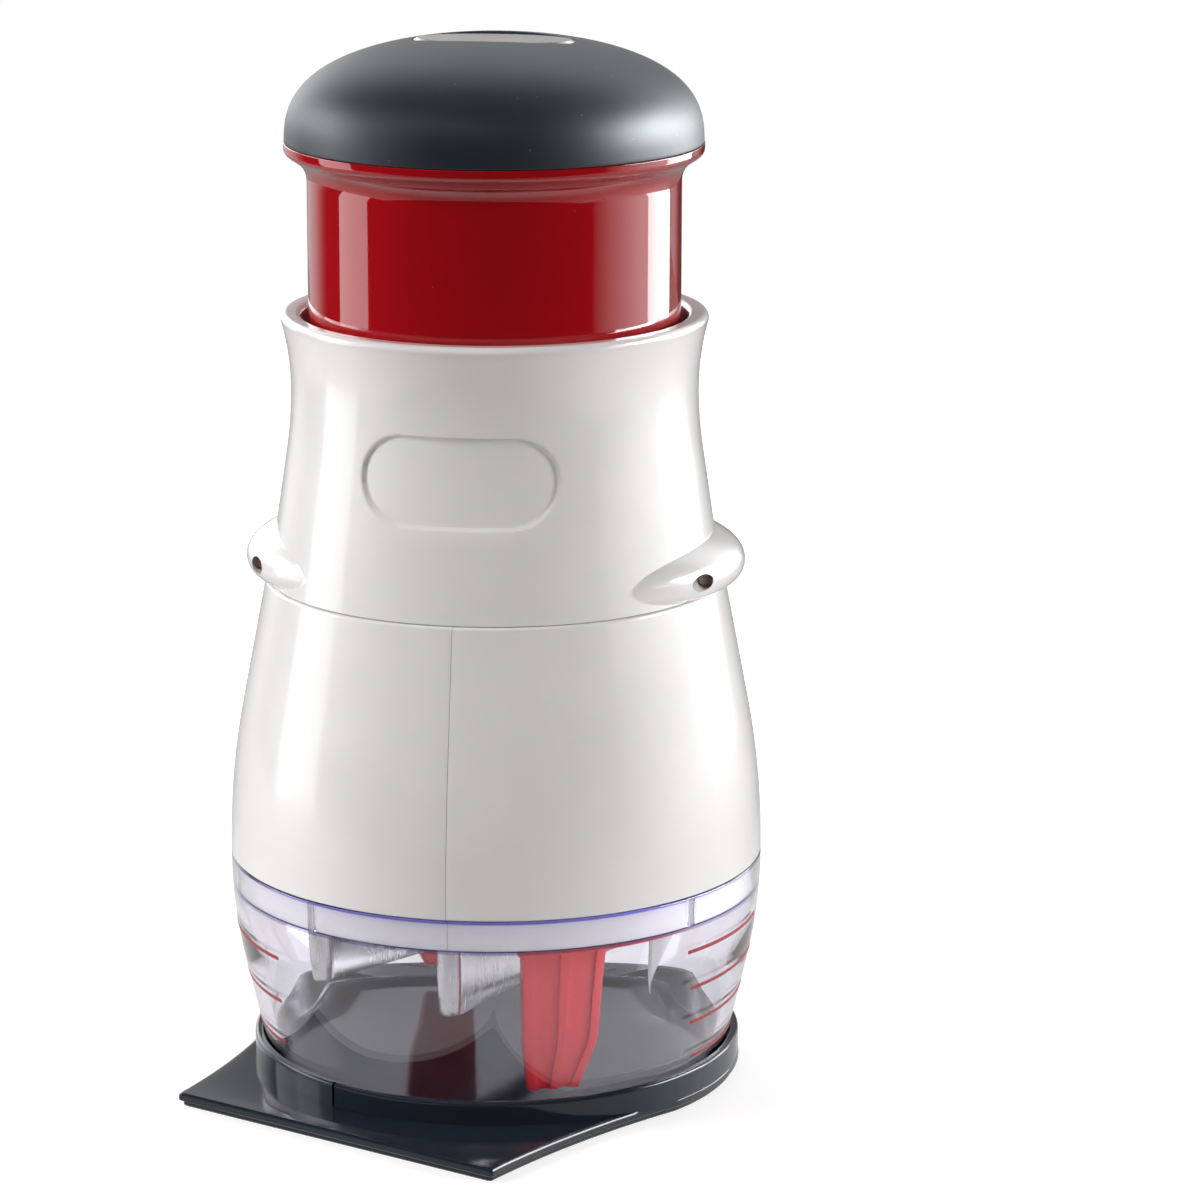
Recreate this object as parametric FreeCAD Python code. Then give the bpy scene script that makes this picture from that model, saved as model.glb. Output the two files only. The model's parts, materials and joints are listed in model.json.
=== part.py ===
import FreeCAD, Part
import math
import os

# Plunger food chopper, in millimetres.
# +Z is up, the origin is on the plunger's axis at the surface it stands on,
# and the front, with the sunk oval, faces -Y. Angles round the axis are counted
# from the front, positive towards +X.

V = FreeCAD.Vector
UP = V(0, 0, 1)
FLAT = "flat"

# ---- Clearances ----
running_gap = 0.3          # between bodies that move past each other
pin_gap = 0.05             # round pins, screws and the spindle
seam_gap = 0.25            # visible joint lines of the housing
fuse_overlap = 0.4         # how far fused features run into each other
past = 1.0                 # how far cuts run past the faces they open

# ---- Motion ----
stroke = 20.0              # travel of the plunger
turn_per_stroke = 45.0     # degrees the blade turns over one stroke

# ---- Base plate ----
plate_thick = 3.0
plate_margin = 0.7         # plate beyond the ring
plate_step_height = 1.2    # lower, narrower layer of the edge
plate_step_inset = 0.7
plate_edge_bevel = 0.5
spout_angle = -22.8        # where the scraper spout points
spout_reach = 64.0         # axis to the scraping edge
spout_width = 79.0         # length of the scraping edge
spout_side_sag = 1.0       # how far the sides of the spout curve in
ring_wall = 3.3            # foot of the ring that holds the cup
ring_height = 4.0
ring_bevel = 0.6
ring_slit_width = 0.6
ring_slit_depth = 1.1
ring_slit_angle = -30.4
ring_slit_count = 4

# ---- Clear cup ----
cup_wall = 2.6
cup_rim_r = 55.1
cup_taper = 7.4            # rim to foot, on the radius
cup_bow = 12.0             # how far below the rim the side starts to turn upright, at its tangent
cup_height = 43.95
band_wall = 1.7            # thin band at the top, outside the housing's lip
band_height = 6.55
index_rib_count = 4
index_rib_angle = -33.0
index_rib_width = 1.6
index_rib_depth = 0.8

# ---- Half shells ----
lip_wall = 2.0
shell_wall = 2.4
shell_top_r = 47.1
shell_bow = 16.0           # tangent length of the belly's curve
shell_height = 57.6
shell_top_bevel = 0.6
rail_reach = 2.5           # rails inside the lip that carry and cap the stripper's flange
rail_thick = 1.6
rail_rise = 2.8            # from the lip's bottom to the lower rail
inner_rib_count = 3        # in each half shell
inner_rib_thick = 1.6
inner_rib_depth = 2.2
inner_rib_margin = 2.0     # from the step below and the spigot above
step_slope = 1.0           # height of the slope from the lip out to the shell's inside

# ---- Collar ----
collar_step = 0.65         # collar's foot inside the shells' top
waist_r = 41.5
waist_height = 39.4
waist_bow = 6.3            # tangent length of the curve below the waist
rim_r = 43.4
collar_height = 54.9
rim_round = 1.5
collar_skirt_wall = 3.4
deck_thick = 3.0
deck_rise = 7.2            # from the collar's foot to the deck's underside
deck_neck = 7.0            # height of the taper from the skirt to the bore
spigot_drop = 5.0
spigot_wall = 2.0
oval_length = 39.4
oval_height = 17.5
oval_rise = 27.6           # from the collar's foot to the oval's centre
oval_depth = 0.8
oval_draft = 0.7

# ---- Hinge ears and knuckles ----
ear_reach = 3.9            # ear's tip beyond the shells' top
ear_plan_r = 36.4          # radius of the ear's outline seen from above
ear_half_height = 4.0
ear_sweep = 130.0          # degrees of its plan arc, its ends inside the collar
ear_lift = 0.3             # ear above the collar's foot
pin_inset = 1.4            # pin's axis inside the shells' top radius
pin_rise = 4.2             # from the collar's foot to the pin
pin_r = 1.5
pin_half_length = 15.8
knuckle_r = 2.8
knuckle_half_width = 8.7
knuckle_arm = 2.4

# ---- Plunger tube ----
tube_r = 37.8
tube_wall = 2.4
tube_reach = 28.1          # above the collar's rim, to where the flare starts
tube_engagement = 22.0     # below the collar's rim
flange_r = 42.0
flange_thick = 1.0
flare_height = 4.2
tube_deck_thick = 3.0
bore_gap = 1.4             # tube to the collar's bore
bead_height = 3.0
bead_bevel = 0.6
flare_end = 0.05           # short straight edge above the flare
stop_ring_thick = 2.4
stop_ring_groove = 0.8
stop_ring_split = 5.0

# ---- Knob ----
grip_r = 42.3
grip_skirt = 0.4           # straight edge under the dome
dome_height = 22.0
dome_power_height = 2.77   # exponents of the dome's outline
dome_power_radius = 2.12
dome_stops = (0, 14, 30, 48, 66)    # degrees along the outline where its arcs begin and pass
grip_wall = 2.6
core_wall = 3.0
core_gap = 0.1
core_bore_depth = 12.0     # how far the spindle reaches above the knob's foot
badge_length = 32.6
badge_width = 17.0
badge_thick = 1.2
badge_bevel = 0.45
badge_sink = 0.75          # badge face below the top of the dome
badge_gap = 0.2
screw_count = 3
screw_circle_r = 24.0
screw_r = 1.5
screw_head_r = 3.0
screw_head_height = 2.0
screw_length = 11.0
screw_post_r = 3.6
blind_gap = 0.5            # left at the bottom of a blind hole

# ---- Spindle and spring ----
spindle_r = 4.0
boss_r = 10.0
thrust_washer_thick = 1.0
spring_r = 15.0            # middle of the wire
spring_wire = 1.6
spring_turns = 6.0
seat_thick = 1.2
seat_outer_r = 17.5
seat_inner_r = 12.0

# ---- Blade, carrier and stem ----
board_gap = 0.3            # blade above the board at the end of the stroke
blade_to_cup = 2.1         # bends to the cup's inside at its foot
blade_thick = 0.8
blade_edge_thick = 0.16
blade_grind = 4.0          # height of the ground edge
blade_headroom = 0.5       # blade's top edge to the carrier's disc
blade_bend_r = 2.4
blade_pitch = 16.0         # sideways step from one bend to the next
blade_end_inset = 3.0      # ends of the path, sideways from the bends' reach
blade_phase = -14.0
carrier_margin = 0.3       # disc beyond the bends
carrier_disc = 3.0
carrier_bevel = 1.0
carrier_rib_height = 6.0
carrier_rib_wall = 1.5
carrier_stop_gap = 1.0     # rib above the stripper at the end of the stroke
gusset_count = 6
gusset_thick = 2.0
gusset_height = 12.0
gusset_toe = 1.0
gusset_inset = 5.0         # gusset's toe inside the disc's edge
hub_r = 8.2
lug_r = 9.4
stem_core_r = 7.2
lug_half_angle = 17.0
stem_rise = 69.0           # above the carrier's disc
spline_length = 38.0
spline_step = 12.0         # degrees of twist between two sections
rivet_r = 0.8
washer_r = 6.4
washer_thick = 1.2
head_r = 4.6
head_height = 2.6
head_bevel = 0.8
head_slot_reach = 3.2
head_slot_width = 1.0
end_screw_r = 2.0
end_screw_length = 14.0
pocket_r = 6.8
pocket_depth = 3.0         # above the disc

# ---- Drive nut ----
nut_r = 13.4
nut_flange_r = 18.0
nut_flange = 1.8
nut_drop = 3.0             # below the deck
tooth_count = 12
tooth_height = 1.4
tooth_inner_r = 11.6
pawl_ring_thick = 1.6
clip_r = 16.6
clip_thick = 1.4
clip_groove = 0.8
guard_r = 20.0             # low wall on the deck that keeps the pawl ring from turning
guard_wall = 2.0
guard_height = 6.0
pawl_tab_width = 5.0
pawl_tab_count = 3

# ---- Stripper ----
stripper_wall = 2.6
stripper_plate = 2.8
stripper_flange = 1.5
stripper_sink = 0.2        # plate below the cup's ledge
flange_reach = 2.0         # flange over the rail
slot_gap = 0.4
arc_drop = 2.2
arc_start = 15.5
arc_sweep = 79.5
finger_floor = 9.0         # height of the finger's tip above the table
finger_wall = 1.6
finger_rib = 0.9
finger_rib_width = 1.8
finger_to_cup = 0.8
finger_bend_rise = 11.3    # height of its bend over the tip
finger_bend = 2.0          # tangent length of that bend
finger_angle = 25.5
finger_left = 7.5          # half widths of the finger at its root
finger_right = 9.9
finger_mid_left = 7.1
finger_mid_right = 7.6
finger_tip_left = 5.6
finger_tip_right = 4.4
finger_taper_start = 10.0  # height over the tip where the left side turns in

# ---- Radii that follow ----
cup_foot_r = cup_rim_r - cup_taper
ring_r = cup_foot_r + running_gap + ring_wall
plate_r = ring_r + plate_margin
lip_outer_r = cup_rim_r - band_wall - running_gap
lip_inner_r = lip_outer_r - lip_wall
rail_inner_r = lip_inner_r - rail_reach
stripper_r = rail_inner_r - running_gap
stripper_inner_r = stripper_r - stripper_wall
blade_r = cup_foot_r - cup_wall - blade_to_cup
blade_end_x = blade_r - blade_end_inset
carrier_r = blade_r + carrier_margin
gusset_r = carrier_r - gusset_inset
collar_foot_r = shell_top_r - collar_step
ear_tip_x = shell_top_r + ear_reach
pin_x = shell_top_r - pin_inset
tube_bore_r = tube_r + bore_gap

# ---- Heights that follow ----
cup_foot = plate_thick
ring_top = plate_thick + ring_height
cup_top = cup_foot + cup_height
ledge_z = cup_top - band_height
shell_foot = cup_top + seam_gap
shell_top = cup_top + shell_height
collar_foot = shell_top + seam_gap
collar_top = collar_foot + collar_height
deck_z = collar_foot + deck_rise
deck_top = deck_z + deck_thick
pin_z = collar_foot + pin_rise
rail_z = ledge_z + rail_rise
flange_z = rail_z + rail_thick + running_gap
upper_rail_z = flange_z + stripper_flange + running_gap
nut_top = deck_top + nut_flange
guard_top = deck_top + guard_height
pawl_z = nut_top
seat_z = pawl_z + tooth_height + pawl_ring_thick
tube_top = collar_top + tube_reach
knob_foot = tube_top + flare_height + flange_thick
tube_deck_z = knob_foot - tube_deck_thick
dome_foot = knob_foot + grip_skirt
dome_top = dome_foot + dome_height
badge_top = dome_top - badge_sink
tube_foot = collar_top - tube_engagement
bead_top = tube_foot + bead_height
blade_foot = plate_thick + board_gap + stroke
stripper_z = ledge_z - stripper_sink
stripper_top = stripper_z + stripper_plate
rib_foot = stripper_top + carrier_stop_gap + stroke
disc_foot = rib_foot + carrier_rib_height
disc_top = disc_foot + carrier_disc
blade_top = disc_foot - blade_headroom
stem_top = disc_top + stem_rise
boss_foot = stem_top + thrust_washer_thick
pocket_top = disc_top + pocket_depth
twist_per_mm = turn_per_stroke / stroke


# ---- Drawing helpers ----

def corner(before, here, after, tangent):
    """Tangent points and middle of the arc that rounds one corner of an outline."""
    p = V(*before)
    q = V(*here)
    r = V(*after)
    back = (p - q).normalize()
    ahead = (r - q).normalize()
    start = q + back * tangent
    end = q + ahead * tangent
    half = back.getAngle(ahead) / 2
    radius = tangent * math.tan(half)
    bisector = (back + ahead).normalize()
    middle = q + bisector * (radius / math.sin(half) - radius)
    return start, middle, end


def outline(points):
    """Closed wire in the XZ plane from (r, z), (r, z, tangent length) or (r, z, length, FLAT).

    A corner with a length is rounded, or cut off straight if it says FLAT.
    """
    count = len(points)
    flat = [(p[0], 0.0, p[1]) for p in points]
    stops = []
    for i in range(count):
        if len(points[i]) == 2:
            stops.append((V(*flat[i]),))
            continue
        start, middle, end = corner(flat[i - 1], flat[i], flat[(i + 1) % count], points[i][2])
        stops.append((start, end) if FLAT in points[i] else (start, middle, end))
    edges = []
    for i in range(count):
        here = stops[i]
        if len(here) == 3:
            edges.append(Part.Arc(*here).toShape())
        elif len(here) == 2:
            edges.append(Part.LineSegment(*here).toShape())
        begin = here[-1]
        end = stops[(i + 1) % count][0]
        if begin.distanceToPoint(end) > 1e-4:
            edges.append(Part.LineSegment(begin, end).toShape())
    return Part.Wire(edges)


def turned(points):
    """Solid of revolution about the plunger's axis."""
    return Part.Face(outline(points)).revolve(V(0, 0, 0), UP, 360)


def tube(outer_r, inner_r, low, high):
    return turned([(inner_r, low), (outer_r, low), (outer_r, high), (inner_r, high)])


def rod(radius, low, high):
    return Part.makeCylinder(radius, high - low, V(0, 0, low))


def block(x, y, z):
    """Box from three (low, high) pairs."""
    return Part.makeBox(x[1] - x[0], y[1] - y[0], z[1] - z[0], V(x[0], y[0], z[0]))


def spoke(inner_r, outer_r, width, low, high, angle):
    """Radial bar at an angle from the front, positive towards +X."""
    bar = block((-width / 2, width / 2), (-outer_r, -inner_r), (low, high))
    bar.rotate(V(0, 0, 0), UP, angle)
    return bar


def round_pattern(shape, count):
    """The shape and its copies round the axis."""
    copies = []
    for i in range(count):
        copy = shape.copy()
        copy.rotate(V(0, 0, 0), UP, 360.0 * i / count)
        copies.append(copy)
    return copies


def fused(shapes):
    first = shapes[0]
    return first.fuse(shapes[1:]).removeSplitter()


def sloped_r(z, foot, top):
    """Radius at a height on the straight line between two (r, z) points."""
    return foot[0] + (top[0] - foot[0]) * (z - foot[1]) / (top[1] - foot[1])


# ---- Outlines shared by pieces that fit each other ----

def cup_r(z):
    """Outside radius of the cup on its straight lower side."""
    return sloped_r(z, (cup_foot_r, cup_foot), (cup_rim_r, cup_top - cup_bow))


def collar_side(inset):
    """Outside of the collar from foot to rim, moved inwards."""
    sweep = rim_rise()
    return [
        (collar_foot_r - inset, collar_foot),
        (waist_r - inset, collar_foot + waist_height - waist_bow, waist_bow),
        (waist_r - inset, collar_foot + waist_height + sweep, sweep),
        (rim_r - inset, collar_top - rim_round),
    ]


def rim_rise():
    """Tangent length of the curve from the upright waist out to the rim."""
    rise = collar_height - waist_height - rim_round
    spread = rim_r - waist_r
    return (rise * rise + spread * spread) / (2 * rise)


def shell_side(inset):
    """Outside of the half shells from the cup's rim to their top."""
    return [
        (cup_rim_r - inset, shell_foot),
        (cup_rim_r - inset, shell_foot + shell_bow, shell_bow),
        (shell_top_r - inset, shell_top),
    ]


def shell_r(z):
    """Outside radius of the half shells on their straight upper side."""
    return sloped_r(z, (cup_rim_r, shell_foot + shell_bow), (shell_top_r, shell_top))


def dome_point(inset, degrees):
    """Point of the knob's outline, from its edge at 0 degrees to the crown at 90."""
    share = math.cos(math.radians(degrees)) ** 0.9
    rise = (1 - share ** dome_power_radius) ** (1 / dome_power_height)
    return V((grip_r - inset) * share, 0, dome_foot + (dome_height - inset) * rise)


def dome_points(inset):
    """Points along the knob's outline, moved inwards, and its crown on the axis."""
    crown = V(0, 0, dome_top - inset)
    return [dome_point(inset, degrees) for degrees in dome_stops] + [crown]


def dome_arcs(inset):
    """Two arcs up the side and one over the crown, centred on the axis."""
    points = dome_points(inset)
    crown = points[-1]
    start = points[-2]
    sag = crown.z - start.z
    radius = (start.x ** 2 + sag ** 2) / (2 * sag)
    half = math.asin(start.x / radius) / 2
    over = V(radius * math.sin(half), 0, crown.z - radius * (1 - math.cos(half)))
    arcs = [points[0:3], points[2:5], [start, over, crown]]
    return [Part.Arc(*arc).toShape() for arc in arcs]


def dome_steps(inset):
    """The same outline in straight steps, for walls that are out of sight."""
    points = dome_points(inset)
    return [Part.LineSegment(a, b).toShape() for a, b in zip(points, points[1:])]


def dome(edges, inset):
    """Solid under a dome's outline, down to the knob's foot."""
    floor = V(0, 0, knob_foot)
    corner_point = V(grip_r - inset, 0, knob_foot)
    crown = V(0, 0, dome_top - inset)
    closing = [
        Part.LineSegment(crown, floor).toShape(),
        Part.LineSegment(floor, corner_point).toShape(),
        Part.LineSegment(corner_point, dome_point(inset, 0)).toShape(),
    ]
    return Part.Face(Part.Wire(edges + closing)).revolve(V(0, 0, 0), UP, 360)


# ---- Zigzag path shared by the blade, its rib and the stripper's slot ----

def left_of(direction):
    return V(-direction.y, direction.x, 0)


def zigzag_stops():
    """Ends and bend centres of the path, each with its bend radius and turning sense."""
    ring = blade_r - blade_bend_r - blade_thick / 2
    end_y = math.sqrt((blade_r - blade_thick) ** 2 - blade_end_x ** 2)
    stops = [(V(-blade_end_x, end_y, 0), 0.0, 1)]
    for i in range(4):
        x = (i - 1.5) * blade_pitch
        side = 1 if i % 2 else -1
        y = side * math.sqrt(ring ** 2 - x ** 2)
        stops.append((V(x, y, 0), blade_bend_r, -side))
    stops.append((V(blade_end_x, -end_y, 0), 0.0, 1))
    return stops


def zigzag_legs():
    """Direction of each straight leg, tangent to the bends at both its ends."""
    stops = zigzag_stops()
    legs = []
    for i in range(len(stops) - 1):
        here, here_r, here_turn = stops[i]
        there, there_r, there_turn = stops[i + 1]
        span = there - here
        slip = there_turn * there_r - here_turn * here_r
        lean = math.asin(slip / span.Length)
        course = math.atan2(span.y, span.x) - lean
        legs.append(V(math.cos(course), math.sin(course), 0))
    return legs


def zigzag_side(offset):
    """Edges of the path moved to its left by offset, from its first end to its last."""
    stops = zigzag_stops()
    legs = zigzag_legs()
    edges = []
    for i in range(len(legs)):
        here, here_r, here_turn = stops[i]
        there, there_r, there_turn = stops[i + 1]
        left = left_of(legs[i])
        begin = here + left * (offset - here_turn * here_r)
        end = there + left * (offset - there_turn * there_r)
        edges.append(Part.LineSegment(begin, end).toShape())
        if there_r > 0:
            reach = offset - there_turn * there_r
            middle = (left + left_of(legs[i + 1])).normalize() * reach
            last = left_of(legs[i + 1]) * reach
            edges.append(Part.Arc(end, there + middle, there + last).toShape())
    return edges


def zigzag_wire(half, z):
    """Closed outline of a strip that follows the path, half its thickness to each side."""
    ahead = zigzag_side(half)
    back = zigzag_side(-half)
    first_cap = Part.LineSegment(back[0].Vertexes[0].Point, ahead[0].Vertexes[0].Point)
    last_cap = Part.LineSegment(ahead[-1].Vertexes[1].Point, back[-1].Vertexes[1].Point)
    edges = ahead + [last_cap.toShape()] + back[::-1] + [first_cap.toShape()]
    wire = Part.Wire(Part.__sortEdges__(edges))
    wire.rotate(V(0, 0, 0), UP, blade_phase)
    wire.translate(V(0, 0, z))
    return wire


def zigzag(half, low, high):
    return Part.Face(zigzag_wire(half, low)).extrude(V(0, 0, high - low))


# ---- Twisted lugs shared by the stem and its nut ----

def lug_section(core, lug, half_angle, z):
    """Round section with two lugs, turned by the twist at its height."""
    turn = math.radians(-twist_per_mm * z)
    half = math.radians(half_angle)

    def at(radius, angle):
        return V(radius * math.cos(angle + turn), radius * math.sin(angle + turn), z)

    edges = []
    for side in (0.0, math.pi):
        before = side - half
        after = side + half
        following = side + math.pi - half
        valley = side + math.pi / 2
        edges.append(Part.Arc(at(lug, before), at(lug, side), at(lug, after)).toShape())
        edges.append(Part.LineSegment(at(lug, after), at(core, after)).toShape())
        edges.append(Part.Arc(at(core, after), at(core, valley), at(core, following)).toShape())
        edges.append(Part.LineSegment(at(core, following), at(lug, following)).toShape())
    return Part.Wire(edges)


def twisted(low, high, gap):
    """Twisted prism of the lugged section, grown by a gap."""
    widen = math.degrees(gap / lug_r)
    steps = max(2, math.ceil((high - low) * twist_per_mm / spline_step))
    sections = []
    for i in range(steps + 1):
        z = low + (high - low) * i / steps
        sections.append(lug_section(stem_core_r + gap, lug_r + gap, lug_half_angle + widen, z))
    return Part.makeLoft(sections, True, False)


# ---- Base ----

def plate_outline(inset):
    """Round plate with the scraper spout towards -Y, its edge moved inwards."""
    radius = plate_r - inset
    edge_y = inset - spout_reach
    edge_x = spout_width / 2 - inset
    reach = math.hypot(edge_x, edge_y)
    bearing = math.atan2(edge_x, -edge_y) + math.acos(radius / reach)
    touch = V(radius * math.sin(bearing), -radius * math.cos(bearing), 0)
    tip = V(edge_x, edge_y, 0)
    along = (tip - touch).normalize()
    middle = (tip + touch) / 2 + V(along.y, -along.x, 0) * spout_side_sag
    far_touch, far_middle, far_tip = [V(-p.x, p.y, 0) for p in (touch, middle, tip)]
    edges = [
        Part.Arc(touch, V(0, radius, 0), far_touch).toShape(),
        Part.Arc(far_touch, far_middle, far_tip).toShape(),
        Part.LineSegment(far_tip, tip).toShape(),
        Part.Arc(tip, middle, touch).toShape(),
    ]
    return Part.Wire(edges)


def base_plate():
    """Board with a stepped edge, scraper spout and the ring that grips the cup."""
    lower = Part.Face(plate_outline(plate_step_inset)).extrude(V(0, 0, plate_step_height))
    face = Part.Face(plate_outline(0.0))
    upper = face.extrude(V(0, 0, plate_thick - plate_step_height))
    top_edges = [e for e in upper.Edges if e.BoundBox.ZMin > upper.BoundBox.ZMax - 1e-6]
    upper = upper.makeChamfer(plate_edge_bevel, top_edges)
    upper.translate(V(0, 0, plate_step_height))
    grip_foot = cup_r(cup_foot) + running_gap
    grip_top = cup_r(ring_top) + running_gap
    ring = turned([
        (grip_foot, plate_thick - fuse_overlap),
        (ring_r, plate_thick - fuse_overlap),
        (ring_r, ring_top, ring_bevel, FLAT),
        (grip_top, ring_top, ring_bevel / 2, FLAT),
        (grip_foot, plate_thick),
    ])
    lower.rotate(V(0, 0, 0), UP, spout_angle)
    upper.rotate(V(0, 0, 0), UP, spout_angle)
    body = fused([lower, upper, ring])
    slit = spoke(ring_r - ring_slit_depth, ring_r + past, ring_slit_width,
                 plate_thick, ring_top + past, ring_slit_angle)
    return body.cut(round_pattern(slit, ring_slit_count))


# ---- Cup ----

def clear_cup():
    """Bowed cup with a thin outer band, an inner ledge and ribs that stop the housing turning."""
    band_inner = cup_rim_r - band_wall
    bow_z = cup_top - cup_bow
    body = turned(
        [(cup_foot_r, cup_foot), (cup_rim_r, bow_z, cup_bow), (cup_rim_r, cup_top)]
        + [(band_inner, cup_top), (band_inner, ledge_z)]
        + [(cup_rim_r - cup_wall, ledge_z)]
        + [(cup_rim_r - cup_wall, bow_z, ledge_z - bow_z, FLAT)]
        + [(cup_foot_r - cup_wall, cup_foot)]
    )
    rib = spoke(band_inner - index_rib_depth, band_inner + fuse_overlap, index_rib_width,
                ledge_z, cup_top - index_rib_depth, index_rib_angle)
    return fused([body] + round_pattern(rib, index_rib_count))


# ---- Housing ----

def half_shell():
    """Right wing of the housing: belly, stepped lip, stripper rails, ribs and hinge knuckle."""
    inner = shell_side(shell_wall)
    belly_z = shell_foot + 2 * shell_bow
    belly_r = shell_r(belly_z) - shell_wall
    step_top = upper_rail_z + rail_thick + step_slope
    outside = shell_side(0.0)
    outside[-1] = (shell_top_r, shell_top, shell_top_bevel, FLAT)
    wall = turned(
        [(lip_inner_r, ledge_z), (lip_outer_r, ledge_z), (lip_outer_r, shell_foot)]
        + outside
        + [(inner[2][0], shell_top)]
        + [(belly_r, belly_z)]
        + [(inner[0][0], step_top + step_slope), (lip_inner_r, step_top)]
    )
    rail = tube(lip_inner_r + fuse_overlap, rail_inner_r, rail_z, rail_z + rail_thick)
    high_rail = rail.copy()
    high_rail.translate(V(0, 0, upper_rail_z - rail_z))
    rib_low = step_top + inner_rib_margin
    rib_high = shell_top - spigot_drop - inner_rib_margin
    high_r = shell_r(rib_high) - shell_wall
    belly = turned([
        (inner[0][0] - inner_rib_depth, rib_low),
        (inner[0][0], rib_low),
        (belly_r + fuse_overlap, belly_z),
        (high_r + fuse_overlap, rib_high),
        (high_r - inner_rib_depth, rib_high),
        (belly_r - inner_rib_depth, belly_z),
    ])
    ribs = []
    for i in range(inner_rib_count):
        angle = 180.0 * (i + 0.5) / inner_rib_count
        bar = spoke(0.0, 2 * shell_top_r, inner_rib_thick, rib_low, rib_high, angle)
        ribs.append(belly.common(bar))
    body = fused([wall, rail, high_rail] + ribs)
    notch = spoke(cup_rim_r - band_wall - index_rib_depth - running_gap, cup_rim_r,
                  index_rib_width + 2 * running_gap, ledge_z - past, shell_foot, index_rib_angle)
    body = body.cut(round_pattern(notch, index_rib_count))
    side = block((seam_gap / 2, 2 * cup_rim_r), (-2 * cup_rim_r, 2 * cup_rim_r), (0, 2 * shell_top))
    body = body.common(side)
    arm = block((pin_x - knuckle_arm / 2, pin_x + knuckle_arm / 2),
                (-knuckle_half_width, knuckle_half_width), (shell_top - shell_wall, pin_z))
    arm = arm.common(rod(shell_top_r - shell_top_bevel, 0, pin_z))
    eye = hinge_bar(knuckle_r, knuckle_half_width)
    bore = hinge_bar(pin_r + pin_gap, 2 * knuckle_half_width)
    return fused([body, arm, eye]).cut(bore)


def hinge_bar(radius, half_length):
    """Round bar along the right hinge's axis."""
    return Part.makeCylinder(radius, 2 * half_length, V(pin_x, -half_length, pin_z), V(0, 1, 0))


def opposite(shape):
    """The same piece on the other side of the axis."""
    other = shape.copy()
    other.rotate(V(0, 0, 0), UP, 180)
    return other


def oval_prism(length, height, near, far, grow):
    """Tapering oval block along Y, centred on the collar's sunk oval."""
    z = collar_foot + oval_rise
    wires = []
    for y, extra in ((near, 0.0), (far, grow)):
        half = length / 2 - height / 2
        radius = height / 2 + extra
        edges = [
            Part.LineSegment(V(-half, y, z - radius), V(half, y, z - radius)).toShape(),
            Part.Arc(V(half, y, z - radius), V(half + radius, y, z), V(half, y, z + radius)).toShape(),
            Part.LineSegment(V(half, y, z + radius), V(-half, y, z + radius)).toShape(),
            Part.Arc(V(-half, y, z + radius), V(-half - radius, y, z), V(-half, y, z - radius)).toShape(),
        ]
        wires.append(Part.Wire(edges))
    return Part.makeLoft(wires, True, True)


def collar():
    """Waisted upper housing with its deck, sunk oval, spigot and the two hinge ears."""
    skirt_inner = collar_foot_r - collar_skirt_wall
    spigot_outer = shell_top_r - shell_wall - running_gap - seam_gap
    spigot_inner = spigot_outer - spigot_wall
    groove_low = bead_top
    groove_high = bead_top + stop_ring_thick + pin_gap
    groove_r = tube_bore_r + stop_ring_groove
    deck_hole = nut_r + pin_gap
    body = turned(
        collar_side(0.0)
        + [(rim_r, collar_top, rim_round), (tube_bore_r, collar_top, rim_round, FLAT)]
        + [(tube_bore_r, groove_high), (groove_r, groove_high)]
        + [(groove_r, groove_low), (tube_bore_r, groove_low)]
        + [(tube_bore_r, deck_top + deck_neck), (skirt_inner, deck_top)]
        + [(deck_hole, deck_top), (deck_hole, deck_z)]
        + [(skirt_inner, deck_z), (spigot_inner, collar_foot)]
        + [(spigot_inner, collar_foot - spigot_drop), (spigot_outer, collar_foot - spigot_drop)]
        + [(spigot_outer, collar_foot)]
    )
    guard = tube(guard_r + guard_wall, guard_r, deck_top - fuse_overlap, guard_top)
    notch = spoke(guard_r - past, guard_r + guard_wall + past, pawl_tab_width + 2 * pin_gap,
                  deck_top, guard_top + past, 0.0)
    guard = guard.cut(round_pattern(notch, pawl_tab_count))
    path_r = ear_plan_r - ear_half_height
    ear = Part.makeTorus(path_r, ear_half_height, V(0, 0, 0), UP, 0, 360, ear_sweep)
    ear.rotate(V(0, 0, 0), UP, -ear_sweep / 2)
    ear.translate(V(ear_tip_x - ear_plan_r, 0, collar_foot + ear_lift + ear_half_height))
    ear = ear.cut(rod(skirt_inner + fuse_overlap, 0, collar_top))
    body = fused([body, guard, ear, opposite(ear)])
    pocket_half = knuckle_half_width + running_gap
    pocket = hinge_bar(knuckle_r + running_gap, pocket_half)
    throat = block((skirt_inner - past, pin_x + knuckle_r + running_gap),
                   (-pocket_half, pocket_half), (collar_foot, pin_z))
    hole = hinge_bar(pin_r + pin_gap, 2 * pin_half_length)
    cuts = [pocket, throat, hole, opposite(pocket), opposite(throat), opposite(hole)]
    body = body.cut(cuts)
    beyond = 2 * rim_r
    floor = turned(collar_side(oval_depth) + [(beyond, collar_top), (beyond, collar_foot)])
    panel = oval_prism(oval_length, oval_height, -waist_r / 2, -collar_foot_r, oval_draft)
    return body.cut(panel.common(floor))


def hinge_pin():
    return hinge_bar(pin_r, pin_half_length)


def stop_ring():
    """Split ring in the collar's bore that the plunger's bead comes up against."""
    ring = tube(tube_bore_r + stop_ring_groove - pin_gap, tube_r + running_gap,
                bead_top, bead_top + stop_ring_thick)
    split = block((-stop_ring_split / 2, stop_ring_split / 2), (0, 2 * tube_r), (bead_top, collar_top))
    return ring.cut(split)


# ---- Turning drive ----

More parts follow.
